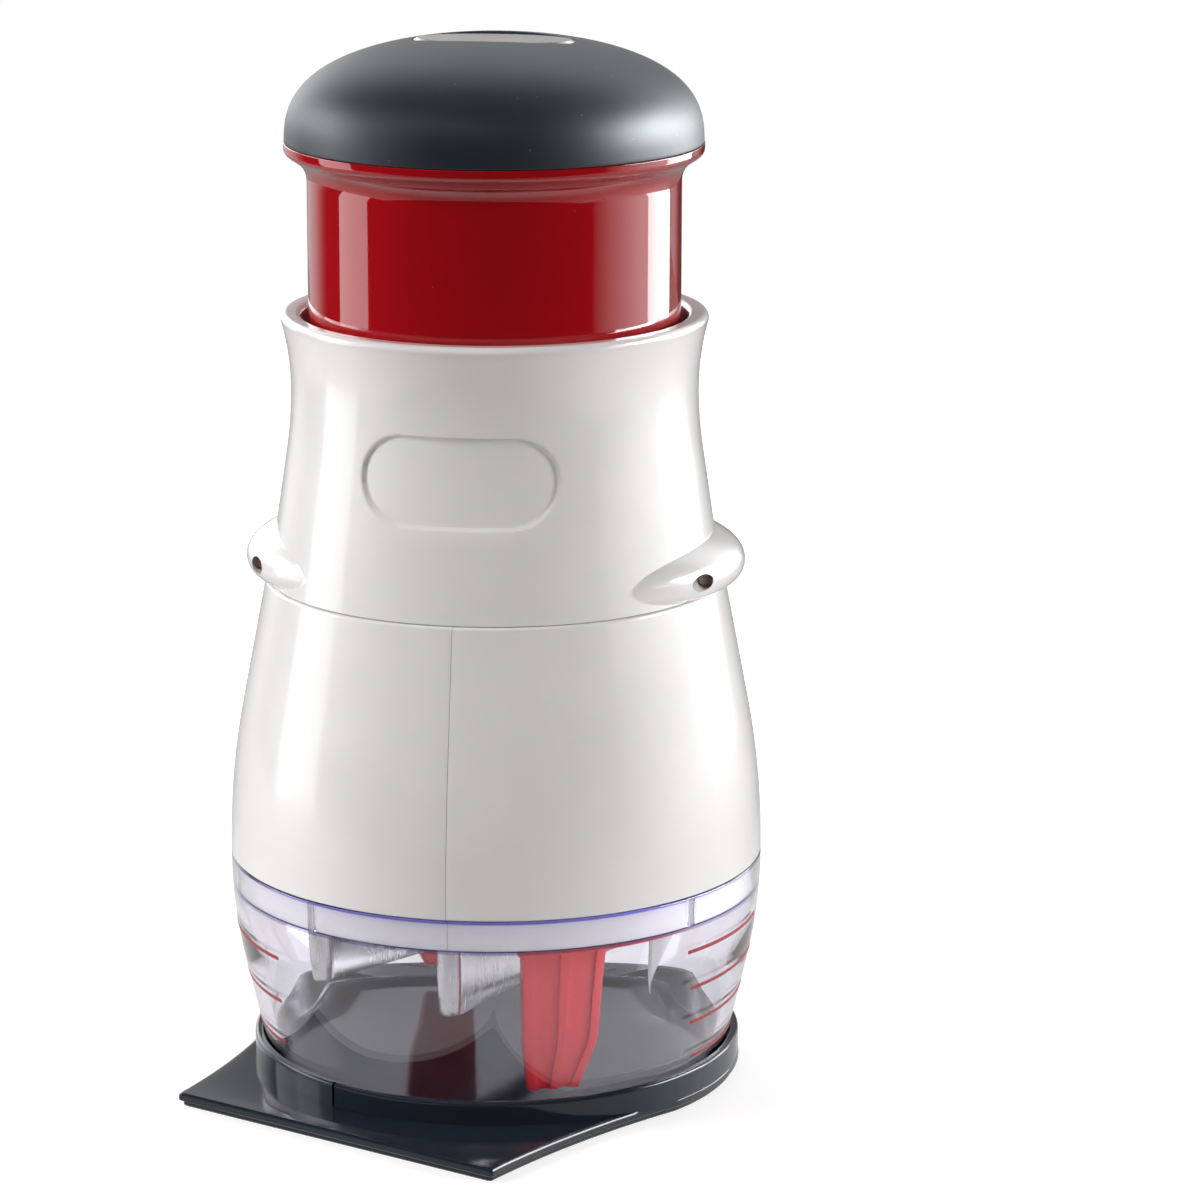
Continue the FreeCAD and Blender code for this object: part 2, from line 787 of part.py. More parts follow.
def teeth(lift):
    """Saw teeth round the top of the nut: each ramps up and drops off."""
    foot = nut_top + lift
    low = foot - fuse_overlap
    high = foot + tooth_height
    pitch = 2 * math.pi / tooth_count
    wires = []
    for radius in (tooth_inner_r, nut_flange_r + past):
        x = radius * math.cos(pitch)
        y = radius * math.sin(pitch)
        points = [V(radius, 0, low), V(x, y, low), V(x, y, high), V(radius, 0, foot)]
        wires.append(Part.makePolygon(points + [points[0]]))
    wedge = Part.makeLoft(wires, True, True)
    tooth = wedge.common(tube(nut_flange_r, tooth_inner_r, low - past, high + past))
    return round_pattern(tooth, tooth_count)


def drive_nut():
    """Nut with a twisted bore, a flange with saw teeth and a groove for its clip."""
    groove = nut_r - clip_groove
    body = turned([
        (0.0, deck_z - nut_drop),
        (nut_r, deck_z - nut_drop),
        (nut_r, deck_z - clip_thick - pin_gap),
        (groove, deck_z - clip_thick - pin_gap),
        (groove, deck_z),
        (nut_r, deck_z),
        (nut_r, deck_top),
        (nut_flange_r, deck_top),
        (nut_flange_r, nut_top),
        (0.0, nut_top),
    ])
    body = fused([body] + teeth(0.0))
    return body.cut(twisted(deck_z - nut_drop - past, nut_top + tooth_height, running_gap))


def pawl_ring():
    """Ring with matching teeth, keyed to the deck by its tabs and pressed down by the spring."""
    top = seat_z
    ring = tube(nut_flange_r, tooth_inner_r, nut_top + pin_gap, top)
    tab = spoke(nut_flange_r - fuse_overlap, guard_r + guard_wall, pawl_tab_width,
                nut_top + tooth_height, top, 0.0)
    return fused([ring] + round_pattern(tab, pawl_tab_count)).cut(teeth(pin_gap))


def nut_clip():
    """Open clip in the nut's groove, under the deck."""
    ring = tube(clip_r, nut_r - clip_groove + pin_gap, deck_z - clip_thick, deck_z)
    mouth = block((-nut_r / 2, nut_r / 2), (0, 2 * clip_r), (deck_z - clip_thick, deck_z))
    return ring.cut(mouth)


def spring_seat():
    return tube(seat_outer_r, seat_inner_r, seat_z, seat_z + seat_thick)


def return_spring():
    """Coil spring from its seat up to the underside of the plunger tube's deck."""
    low = seat_z + seat_thick + spring_wire / 2
    high = tube_deck_z - spring_wire / 2
    path = Part.makeHelix((high - low) / spring_turns, high - low, spring_r)
    half = spring_wire / 2
    corners = [V(spring_r - half, 0, -half), V(spring_r + half, 0, -half),
               V(spring_r + half, 0, half), V(spring_r - half, 0, half)]
    section = Part.makePolygon(corners + [corners[0]])
    coil = Part.Wire(path.Edges).makePipeShell([section], True, True)
    coil.translate(V(0, 0, low))
    return coil


# ---- Plunger ----

def plunger_tube():
    """Sleeve with a stop bead, a flared top and the deck that the knob is screwed to."""
    inner = tube_r - tube_wall
    body = turned([
        (inner, tube_foot),
        (tube_bore_r - running_gap, tube_foot, bead_bevel, FLAT),
        (tube_bore_r - running_gap, bead_top),
        (tube_r, bead_top),
        (tube_r, tube_top + flare_height, flare_height - flare_end),
        (flange_r, tube_top + flare_height),
        (flange_r, knob_foot),
        (boss_r + pin_gap, knob_foot),
        (boss_r + pin_gap, tube_deck_z),
        (inner, tube_deck_z),
    ])
    hole = rod(screw_r + pin_gap, tube_deck_z - past, knob_foot + past)
    hole.translate(V(0, -screw_circle_r, 0))
    return body.cut(round_pattern(hole, screw_count))


def knob_core():
    """Stiff dome with the spindle's boss and three screw posts."""
    cover = grip_wall + core_gap
    outer = dome(dome_steps(cover), cover)
    inner = dome(dome_steps(cover + core_wall), cover + core_wall)
    boss = rod(boss_r, boss_foot, knob_foot + core_bore_depth + core_wall)
    post = rod(screw_post_r, knob_foot, dome_top)
    post.translate(V(0, -screw_circle_r, 0))
    posts = [outer.common(p) for p in round_pattern(post, screw_count)]
    column = outer.common(rod(boss_r, knob_foot, dome_top))
    body = fused([outer.cut(inner), boss, column] + posts)
    bore = rod(spindle_r + pin_gap, boss_foot - past, knob_foot + core_bore_depth)
    hole = rod(screw_r + pin_gap, knob_foot - past, knob_foot + screw_length)
    hole.translate(V(0, -screw_circle_r, 0))
    return body.cut([bore] + round_pattern(hole, screw_count))


def badge_face(grow, z):
    ellipse = Part.Ellipse(V(0, 0, z), badge_length / 2 + grow, badge_width / 2 + grow)
    return Part.Face(Part.Wire(ellipse.toShape()))


def knob_grip():
    """Soft cap over the core, with a pocket for the badge."""
    outer = dome(dome_arcs(0.0), 0.0)
    inner = dome(dome_steps(grip_wall), grip_wall)
    pocket = badge_face(badge_gap, badge_top - badge_thick).extrude(V(0, 0, dome_height))
    return outer.cut(inner).cut(pocket)


def knob_badge():
    """Oval metal inlay with a bevelled edge."""
    body = badge_face(0.0, badge_top - badge_thick).extrude(V(0, 0, badge_thick))
    rim = [e for e in body.Edges if e.BoundBox.ZMin > badge_top - badge_bevel]
    return body.makeChamfer(badge_bevel, rim)


def knob_screws():
    """Pan-head screws from the tube's deck up into the core's posts."""
    head = rod(screw_head_r, tube_deck_z - screw_head_height, tube_deck_z)
    shank = rod(screw_r, tube_deck_z, knob_foot + screw_length - blind_gap)
    screw = fused([head, shank])
    screw.translate(V(0, -screw_circle_r, 0))
    return Part.makeCompound(round_pattern(screw, screw_count))


def spindle():
    """Rod from the knob down into the blade carrier, drilled for its end screw."""
    body = rod(spindle_r, pocket_top, knob_foot + core_bore_depth - blind_gap)
    return body.cut(rod(end_screw_r + pin_gap, pocket_top - past, pocket_top + end_screw_length))


def thrust_washer():
    return tube(hub_r, spindle_r + pin_gap, stem_top, boss_foot)


def spindle_washer():
    return tube(washer_r, end_screw_r + pin_gap, pocket_top - washer_thick, pocket_top)


def spindle_screw():
    """Screw with a cross slot in its head, under the washer."""
    top = pocket_top - washer_thick
    foot = top - head_height
    half = head_slot_width / 2
    head = turned([(0, foot), (head_r, foot, head_bevel, FLAT), (head_r, top), (0, top)])
    shank = rod(end_screw_r, top, pocket_top + end_screw_length - blind_gap)
    slot = block((-head_slot_reach, head_slot_reach), (-half, half), (foot, foot + head_height / 2))
    cross = slot.copy()
    cross.rotate(V(0, 0, 0), UP, 90)
    return fused([head, shank]).cut([slot, cross])


# ---- Blade unit ----

def zigzag_blade():
    """Folded strip with a ground lower edge and holes for its rivets."""
    ground_top = blade_foot + blade_grind
    strip = zigzag(blade_thick / 2, ground_top, blade_top)
    sharp = zigzag_wire(blade_edge_thick / 2, blade_foot)
    full = zigzag_wire(blade_thick / 2, ground_top)
    edge = Part.makeLoft([sharp, full], True, True)
    return fused([strip, edge]).cut(rivets())


def rivets():
    """Round pins across the four outer legs of the path, through the rib."""
    stops = zigzag_stops()
    legs = zigzag_legs()
    half = blade_thick / 2 + carrier_rib_wall
    pins = []
    for i in (0, 1, 3, 4):
        here = stops[i][0]
        there = stops[i + 1][0]
        left = left_of(legs[i])
        shift = (stops[i][2] * stops[i][1] + stops[i + 1][2] * stops[i + 1][1]) / 2
        middle = (here + there) / 2 - left * shift
        middle.z = rib_foot + carrier_rib_height / 2
        pin = Part.makeCylinder(rivet_r, 2 * half, middle - left * half, left)
        pin.rotate(V(0, 0, 0), UP, blade_phase)
        pins.append(pin)
    return pins


def blade_rivets():
    return Part.makeCompound(rivets())


def blade_carrier():
    """Disc with the rib that grips the blade, gussets, hub and the twisted stem."""
    disc = turned([
        (0, disc_foot),
        (carrier_r, disc_foot),
        (carrier_r, disc_top, carrier_bevel, FLAT),
        (0, disc_top),
    ])
    rib = zigzag(blade_thick / 2 + carrier_rib_wall, rib_foot, disc_foot + fuse_overlap)
    spline_foot = stem_top - spline_length
    hub = rod(hub_r, disc_top - fuse_overlap, spline_foot)
    stem = twisted(spline_foot - fuse_overlap, stem_top, 0.0)
    root = hub_r - fuse_overlap
    low = disc_top - fuse_overlap
    web = Part.makePolygon([
        V(root, 0, low),
        V(gusset_r, 0, low),
        V(gusset_r, 0, disc_top + gusset_toe),
        V(root, 0, disc_top + gusset_height),
        V(root, 0, low),
    ])
    gusset = Part.Face(web).extrude(V(0, gusset_thick, 0))
    gusset.translate(V(0, -gusset_thick / 2, 0))
    body = fused([disc, rib, hub, stem] + round_pattern(gusset, gusset_count))
    slot = zigzag(blade_thick / 2, rib_foot - past, blade_top)
    pocket = rod(pocket_r, rib_foot - past, pocket_top)
    bore = rod(spindle_r + pin_gap, pocket_top - past, stem_top + past)
    return body.cut([slot, pocket, bore] + rivets())


# ---- Stripper ----

def finger_outline(left, right):
    """Tapered outline of a finger, or of a channel in it, between two shares of its width."""
    heights = (stripper_z + stripper_plate / 2, finger_floor + finger_taper_start, finger_floor)
    lefts = (finger_left, finger_mid_left, finger_tip_left)
    rights = (finger_right, finger_mid_right, finger_tip_right)
    down = []
    up = []
    for z, a, b in zip(heights, lefts, rights):
        width = a + b
        down.append(V(-a + left(width), 0, z))
        up.append(V(-a + right(width), 0, z))
    points = down + up[::-1]
    return Part.Face(Part.makePolygon(points + [points[0]]))


def finger_prism(left, right):
    prism = finger_outline(left, right).extrude(V(0, -2 * stripper_r, 0))
    prism.rotate(V(0, 0, 0), UP, finger_angle)
    return prism


def finger_band(outer_sink, inner_sink):
    """Turned band that runs down the cup's wall, between two depths."""
    tip_r = cup_r(finger_floor) - cup_wall - finger_to_cup
    bend_z = finger_floor + finger_bend_rise
    top = stripper_z + stripper_plate / 2
    return turned([
        (stripper_r - inner_sink, top),
        (stripper_r - inner_sink, bend_z, finger_bend),
        (tip_r - inner_sink, finger_floor),
        (tip_r - outer_sink, finger_floor),
        (stripper_r - outer_sink, bend_z, finger_bend),
        (stripper_r - outer_sink, top),
    ])


def finger():
    """Wiping finger with two raised borders and a middle rib."""
    rib = finger_rib_width
    whole = finger_band(0.0, finger_wall + finger_rib)
    body = whole.common(finger_prism(lambda w: 0.0, lambda w: w))
    skin = finger_band(-past, finger_rib)
    near = finger_prism(lambda w: rib, lambda w: w / 2 - rib / 2)
    far = finger_prism(lambda w: w / 2 + rib / 2, lambda w: w - rib)
    keep = rod(stripper_r + 2 * past, 0, stripper_z - arc_drop)
    return body.cut([skin.common(near).common(keep), skin.common(far).common(keep)])


def stripper():
    """Rotor: slotted wiping plate in a ring, two lower arcs and two fingers."""
    flange_top = flange_z + stripper_flange
    ring = turned([
        (0, stripper_z),
        (stripper_r, stripper_z),
        (stripper_r, flange_z),
        (rail_inner_r + flange_reach, flange_z),
        (rail_inner_r + flange_reach, flange_top),
        (stripper_inner_r, flange_top),
        (stripper_inner_r, stripper_top),
        (0, stripper_top),
    ])
    band = Part.Face(outline([
        (stripper_r - finger_wall - finger_rib, stripper_z - arc_drop),
        (stripper_r, stripper_z - arc_drop),
        (stripper_r, stripper_z + fuse_overlap),
        (stripper_r - finger_wall - finger_rib, stripper_z + fuse_overlap),
    ]))
    arc = band.revolve(V(0, 0, 0), UP, arc_sweep)
    arc.rotate(V(0, 0, 0), UP, arc_start - 90)
    one = finger()
    body = fused([ring, arc, opposite(arc), one, opposite(one)])
    return body.cut(zigzag(blade_thick / 2 + slot_gap, 0, stripper_top + past))


# ---- All pieces ----

right_shell = half_shell()
right_pin = hinge_pin()
pieces = {
    "base_plate": base_plate(),
    "clear_cup": clear_cup(),
    "left_half_shell": opposite(right_shell),
    "right_half_shell": right_shell,
    "collar": collar(),
    "left_hinge_pin": opposite(right_pin),
    "right_hinge_pin": right_pin,
    "stop_ring": stop_ring(),
    "drive_nut": drive_nut(),
    "pawl_ring": pawl_ring(),
    "nut_clip": nut_clip(),
    "spring_seat": spring_seat(),
    "return_spring": return_spring(),
    "plunger_tube": plunger_tube(),
    "knob_core": knob_core(),
    "knob_grip": knob_grip(),
    "knob_badge": knob_badge(),
    "knob_screws": knob_screws(),
    "spindle": spindle(),
    "thrust_washer": thrust_washer(),
    "spindle_washer": spindle_washer(),
    "spindle_screw": spindle_screw(),
    "blade_carrier": blade_carrier(),
    "zigzag_blade": zigzag_blade(),
    "blade_rivets": blade_rivets(),
    "stripper": stripper(),
}

os.makedirs("parts", exist_ok=True)
for name, shape in pieces.items():
    shape.exportStep("parts/" + name + ".step")
    print(name, len(shape.Solids), shape.isValid(), round(shape.Volume))
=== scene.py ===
"""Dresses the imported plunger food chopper: shells, clear cup, soft knob and a plain studio."""

import functools
import json
import math

import bmesh
import bpy
from mathutils import Matrix, Vector


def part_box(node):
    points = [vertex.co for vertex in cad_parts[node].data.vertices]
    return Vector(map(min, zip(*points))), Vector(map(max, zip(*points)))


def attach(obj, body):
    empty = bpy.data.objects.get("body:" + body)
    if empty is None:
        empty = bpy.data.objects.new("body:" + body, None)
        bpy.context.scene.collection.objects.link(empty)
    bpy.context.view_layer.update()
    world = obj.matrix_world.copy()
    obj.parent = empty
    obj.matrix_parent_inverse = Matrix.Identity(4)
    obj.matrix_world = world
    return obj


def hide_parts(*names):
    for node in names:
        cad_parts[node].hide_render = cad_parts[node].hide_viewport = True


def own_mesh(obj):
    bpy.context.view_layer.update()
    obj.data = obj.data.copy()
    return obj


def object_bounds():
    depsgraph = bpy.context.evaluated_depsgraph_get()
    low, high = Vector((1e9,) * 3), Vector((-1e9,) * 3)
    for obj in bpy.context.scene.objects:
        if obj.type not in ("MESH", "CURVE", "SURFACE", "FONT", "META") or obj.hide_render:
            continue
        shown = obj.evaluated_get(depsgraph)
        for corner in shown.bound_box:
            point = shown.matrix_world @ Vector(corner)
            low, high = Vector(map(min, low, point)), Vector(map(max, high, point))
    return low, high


bl_info = {
    "name": "Plunger Food Chopper",
    "version": (1, 0, 0),
    "blender": (4, 5, 0),
    "location": "View3D > Sidebar > Chopper",
    "description": "Shapes and finishes of a hand food chopper, and the studio it stands in",
    "category": "Add Mesh",
}

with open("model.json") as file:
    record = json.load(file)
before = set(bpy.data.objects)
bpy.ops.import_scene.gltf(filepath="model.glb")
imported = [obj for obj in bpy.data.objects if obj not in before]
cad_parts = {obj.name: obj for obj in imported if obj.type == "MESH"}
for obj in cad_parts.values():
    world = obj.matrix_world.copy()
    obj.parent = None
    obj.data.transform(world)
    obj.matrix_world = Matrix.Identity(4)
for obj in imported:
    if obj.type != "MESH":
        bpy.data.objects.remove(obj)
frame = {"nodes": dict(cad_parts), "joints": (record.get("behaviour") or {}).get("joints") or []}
NODES = frame["nodes"]
CAD_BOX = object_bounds()
UP = Vector((0, 0, 1))

# Lengths in metres that several pieces share
CLEARANCE = 0.0003      # room between pieces that slide past each other
OVERCUT = 0.001         # how far a cutting tool passes the face that it cuts
PIN_RADIUS = 0.0015     # hinge pins
LIP_ROUND = 0.0004      # tangent length of the rounding at rims and feet
BOW_END = 0.0006        # straight end that a long curve leaves
NUDGE = 0.0001          # keeps a cut's face out of the plane of another

DUST = (0.6, 0.6, 0.6)
LINT = (0.35, 0.36, 0.38)


@functools.cache
def corners_of(node):
    """Lowest and highest corner of a node's box, measured once."""
    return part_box(node)


def low(node):
    """Height of a node's foot."""
    return corners_of(node)[0].z


def high(node):
    """Height of a node's top."""
    return corners_of(node)[1].z


def reach(node):
    """How far a node goes towards +X."""
    return corners_of(node)[1].x


# ---- Sizes and colours ----

def length(name, description, default):
    """Property in metres."""
    return bpy.props.FloatProperty(
        name=name, description=description, default=default, subtype="DISTANCE", unit="LENGTH",
        precision=5,
    )


def tint(name, description, default):
    """Property for a linear colour."""
    return bpy.props.FloatVectorProperty(
        name=name, description=description, default=default, subtype="COLOR", size=3,
        min=0.0, max=1.0,
    )


def amount(name, description, default):
    """Property for a plain number."""
    return bpy.props.FloatProperty(name=name, description=description, default=default)


def number(name, description, default):
    """Property for a count."""
    return bpy.props.IntProperty(name=name, description=description, default=default, min=1)


def bearing(name, description, degrees):
    """Property for an angle, given in degrees."""
    return bpy.props.FloatProperty(
        name=name, description=description, default=math.radians(degrees), subtype="ANGLE",
    )


def corner(name, description, default):
    """Property for a point in plan."""
    return bpy.props.FloatVectorProperty(
        name=name, description=description, default=default, subtype="XYZ", unit="LENGTH",
        size=2, precision=5,
    )


class KnobSettings(bpy.types.PropertyGroup):
    """Soft grip and the oval metal inlay on it."""

    radius: length("Radius", "Radius of the grip at its edge", 0.0423)
    skirt: length("Skirt", "Straight edge under the dome", 0.0004)
    lift: length("Lift", "Rim of the sleeve that the grip's edge stands on", 0.0012)
    crown: length("Crown", "Height of the whole dome over its edge", 0.022)
    wall: length("Wall", "Thickness of the soft grip", 0.0026)
    crown_power: amount("Crown power", "How flat the dome's crown is", 2.77)
    side_power: amount("Side power", "How full the dome's side is", 2.12)
    edge_round: length("Edge rounding", "Radius of the grip's lower edge", 0.0003)
    pocket_round: length("Pocket rounding", "Radius of the pocket's edge", 0.00035)
    badge_gap: length("Badge gap", "Joint between the inlay and its pocket", 0.0002)
    badge_bevel: length("Badge bevel", "Width of the inlay's bevel", 0.0006)
    screw_count: number("Screws", "Screws that hold the grip's core", 3)
    screw_circle: length("Screw circle", "Radius at which the screws stand", 0.024)


class PlungerSettings(bpy.types.PropertyGroup):
    """Glossy sleeve under the knob."""

    radius: length("Radius", "Outside of the sleeve", 0.0378)
    wall: length("Wall", "Thickness of the sleeve", 0.0024)
    rim: length("Rim", "Radius of the rim under the knob", 0.0424)
    rim_height: length("Rim height", "Height of the rim's upright edge", 0.002)
    rim_round: length("Rim rounding", "Tangent length of the rim's lower rounding", 0.0009)
    slope: length("Slope", "Fall of the rim's underside to the sleeve", 0.003)
    flare: length("Flare", "Tangent length of the curve into the sleeve", 0.0027)
    deck: length("Deck", "Thickness of the deck inside the sleeve", 0.003)
    boss: length("Boss hole", "Radius of the hole in the deck", 0.01005)
    bead: length("Bead", "Height of the stop bead at the foot", 0.003)


class HousingSettings(bpy.types.PropertyGroup):
    """White collar, its ears and the two half shells."""

    collar_foot: length("Collar foot", "Radius at the collar's foot", 0.04645)
    waist: length("Waist", "Radius at the collar's waist", 0.0415)
    waist_height: length("Waist height", "From the collar's foot to its waist", 0.0394)
    waist_bow: length("Waist bow", "Tangent length of the curve below the waist", 0.0063)
    rim: length("Rim", "Radius at the collar's rim", 0.0434)
    rim_round: length("Rim rounding", "Tangent length of the rim's rounding", 0.0015)
    bore: length("Bore", "Radius of the bore that the sleeve slides in", 0.0392)
    skirt_wall: length("Skirt wall", "Thickness of the collar's skirt", 0.0034)
    deck_rise: length("Deck height", "From the collar's foot to its deck", 0.0072)
    deck: length("Deck", "Thickness of the collar's deck", 0.003)
    deck_hole: length("Deck hole", "Radius of the hole for the drive nut", 0.01345)
    guard: length("Guard", "Inside of the low wall round the pawl ring", 0.02)
    spigot: length("Spigot", "How far the collar reaches into the shells", 0.005)
    oval_length: length("Oval length", "Length of the sunk oval", 0.0394)
    oval_height: length("Oval height", "Height of the sunk oval", 0.0175)
    oval_rise: length("Oval rise", "From the collar's foot to the oval's middle", 0.0276)
    oval_depth: length("Oval depth", "How far the oval is sunk", 0.0008)
    oval_edge: length("Oval edge", "Width of the oval's rounded edge", 0.0008)
    ear_plan: length("Ear plan", "Radius of the ear's outline from above", 0.0324)
    ear_radius: length("Ear radius", "Half the ear's height", 0.004)
    ear_tip: length("Ear tip", "How far the ear stands out from the axis", 0.0514)
    ear_lift: length("Ear lift", "Ear above the collar's foot", 0.0)
    ear_swell: length("Ear swell", "How far the ear's top climbs towards the collar", 0.0045)
    knuckle: length("Knuckle", "Radius of the shell's knuckle", 0.0028)
    knuckle_half: length("Knuckle width", "Half the knuckle's width", 0.0087)
    shell_rim: length("Shell rim", "Radius of the shells at the cup", 0.0551)
    shell_top: length("Shell top", "Radius of the shells at the collar", 0.0471)
    shell_bow: length("Shell bow", "Tangent length of the belly's curve", 0.016)
    shell_wall: length("Shell wall", "Thickness of the shells", 0.0024)
    lip_wall: length("Lip wall", "Thickness of the lip inside the cup", 0.002)
    seam: length("Seam", "Joint between the two shells", 0.0001)
    seam_round: length("Seam rounding", "Bevel along the seam", 0.00022)


class CupSettings(bpy.types.PropertyGroup):
    """Clear cup and its printed measuring lines."""

    foot: length("Foot", "Radius of the cup at its foot", 0.0477)
    rim: length("Rim", "Radius of the cup at its rim", 0.0551)
    wall: length("Wall", "Thickness of the cup", 0.0026)
    bow: length("Bow", "Tangent length of the curve below the rim", 0.012)
    band_wall: length("Band wall", "Thickness of the band round the lip", 0.0017)
    band_height: length("Band height", "Height of the band round the lip", 0.00655)
    rib_count: number("Index ribs", "Ribs that stop the housing turning", 4)
    rib_angle: bearing("Index rib angle", "Where the first rib is", -33.0)
    rib_width: length("Index rib width", "Width of a rib", 0.0016)
    rib_depth: length("Index rib depth", "How far a rib stands in", 0.0008)
    mark_width: length("Mark width", "Height of a printed line", 0.0008)
    mark_thick: length("Mark thickness", "Thickness of the printed ink", 0.00008)


class BaseSettings(bpy.types.PropertyGroup):
    """Base plate with its scraper spout and ring."""

    radius: length("Radius", "Radius of the round plate", 0.0509)
    step: length("Step", "Height of the lower layer", 0.0012)
    step_inset: length("Step inset", "How far the lower layer is set in", 0.0007)
    edge_round: length("Edge rounding", "Radius of the upper edge", 0.001)
    front_share: amount("Front share", "Share of the edge rounding at the scraping edge", 0.35)
    spout_left: corner("Spout left", "Left end of the scraping edge", (-0.0588, -0.0411))
    spout_right: corner("Spout right", "Right end of the scraping edge", (0.0126, -0.0742))
    spout_sag: length("Spout sag", "How far the spout's sides curve in", 0.0018)
    ring: length("Ring", "Outside of the ring that holds the cup", 0.05075)
    ring_lift: length("Ring lift", "Height of the ring over the base node", 0.0008)
    ring_gap: length("Ring gap", "Joint between the ring and the cup", 0.0003)
    ring_round: length("Ring rounding", "Tangent length of the ring's rounding", 0.0007)
    slit_count: number("Slits", "Slits in the ring", 2)
    slit_angle: bearing("Slit angle", "Where the first slit is", -30.4)
    slit_width: length("Slit width", "Width of a slit", 0.0006)
    slit_depth: length("Slit depth", "Depth of a slit", 0.0011)


class DriveSettings(bpy.types.PropertyGroup):
    """Coil spring and the small inner pieces."""

    coil: length("Coil", "Radius of the spring at the middle of its wire", 0.015)
    wire: length("Wire", "Diameter of the spring wire", 0.0016)
    turns: amount("Turns", "Turns of the spring", 8.0)
    edge: length("Edge", "Small rounding of the inner pieces' edges", 0.00012)


class FinishSettings(bpy.types.PropertyGroup):
    """Colours of the finishes."""

    white: tint("White", "Housing", (0.875, 0.850, 0.845))
    red: tint("Red", "Sleeve", (0.36, 0.002, 0.006))
    # lighter copy of the sleeve's red: painted light, standing in for the light that reaches the
    # stripper inside the cup
    painted_light_rotor: tint("Rotor", "Stripper inside the cup", (0.80, 0.045, 0.06))
    slate: tint("Slate", "Base plate", (0.014, 0.020, 0.030))
    grip: tint("Grip", "Soft grip of the knob", (0.0145, 0.0185, 0.0265))
    clear: tint("Clear", "Cup", (0.975, 0.972, 0.985))
    edge: tint("Cup edge", "Light that a long way through the cup leaves", (0.42, 0.40, 0.92))
    # the cup rim colour is a painted glow, laid on the cup's top and ledge
    rim: tint("Cup rim", "Glow of the cup's cut edges", (0.10, 0.08, 0.62))
    ink: tint("Ink", "Measuring lines", (0.33, 0.012, 0.018))
    steel: tint("Steel", "Blade, spindle and screws", (0.62, 0.61, 0.60))
    badge: tint("Badge", "Oval inlay", (0.88, 0.85, 0.83))
    pin: tint("Pin", "Hinge pins", (0.30, 0.235, 0.20))
    inner: tint("Inner", "Nut, rings and washers", (0.55, 0.56, 0.58))


class StudioSettings(bpy.types.PropertyGroup):
    """Camera, lamps and floor."""

    camera_place: bpy.props.FloatVectorProperty(
        name="Camera place", description="Where the camera stands", subtype="XYZ", unit="LENGTH",
        default=(0.16836, -0.90836, 0.32427),
    )
    camera_turn: bpy.props.FloatVectorProperty(
        name="Camera turn", description="Turn of the camera", subtype="EULER",
        default=(math.radians(76.2967), math.radians(-0.136), math.radians(9.2019)),
    )
    lens: amount("Lens", "Focal length in millimetres", 138.47)
    sensor: amount("Sensor", "Width of the sensor in millimetres", 36.0)
    left_strip: amount("Left strip", "Power in watts", 1.9)
    right_strip: amount("Right strip", "Power in watts", 6.0)
    right_fill: amount("Right fill", "Power in watts", 0.5)
    left_glow: amount("Left glow", "Power in watts", 5.0)
    right_glow: amount("Right glow", "Power in watts", 20.0)
    edge_glow: amount("Edge glow", "Power in watts", 0.8)
    left_panel: amount("Left panel", "Power in watts", 13.4)
    right_panel: amount("Right panel", "Power in watts", 9.7)
    overhead: amount("Overhead", "Power in watts", 2.6)
    front_world: amount("Front level", "Brightness of the room in front", 0.03)
    back_world: amount("Back level", "Brightness of the backdrop over the table", 0.25)
    gloss_world: amount("Gloss level", "Brightness of the backdrop as gloss shows it", 1.1)
    under_world: amount("Low back level", "Brightness of the backdrop below the table", 0.87)
    middle_gloss: amount("Middle gloss", "Share of the gloss level low in the middle", 0.24)
    side_gloss: amount("Side gloss", "Share of the gloss level low at the sides", 2.8)
    under_gloss: amount("Low gloss", "Share of those two below the horizon", 0.20)
    right_gloss: amount("Right gloss", "Share of the gloss level high on the right", 1.9)
    floor_seen: amount("Floor glow", "Glow of the floor near the object for the camera", 0.74)
    floor_gloss: amount("Floor gloss", "Glow of the floor near the object for gloss", 0.48)
    floor_dark: tint("Floor, dark", "Darker cloud of the floor's paint", (0.39, 0.372, 0.365))
    floor_light: tint("Floor, light", "Lighter cloud of the floor's paint", (0.41, 0.392, 0.385))


# ---- Node trees ----

class Value:
    """One output socket with arithmetic: each operator adds the Math node that it needs."""

    def __init__(self, graph, socket):
        self.graph = graph
        self.socket = socket

    def math(self, operation, other, swapped=False):
        """Math node on this value and another, or the other way round."""
        terms = {0: other, 1: self} if swapped else {0: self, 1: other}
        return self.graph.node("ShaderNodeMath", terms, operation=operation)

    def __add__(self, other):
        return self.math("ADD", other)

    def __sub__(self, other):
        return self.math("SUBTRACT", other)

    def __rsub__(self, other):
        return self.math("SUBTRACT", other, swapped=True)

    def __mul__(self, other):
        return self.math("MULTIPLY", other)

    __radd__ = __add__
    __rmul__ = __mul__

    def step(self, start, end, to_start=0.0, to_end=1.0):
        """Smooth step between two levels."""
        inputs = {"Value": self, "From Min": start, "From Max": end,
                  "To Min": to_start, "To Max": to_end}
        return self.graph.node("ShaderNodeMapRange", inputs, interpolation_type="SMOOTHSTEP")


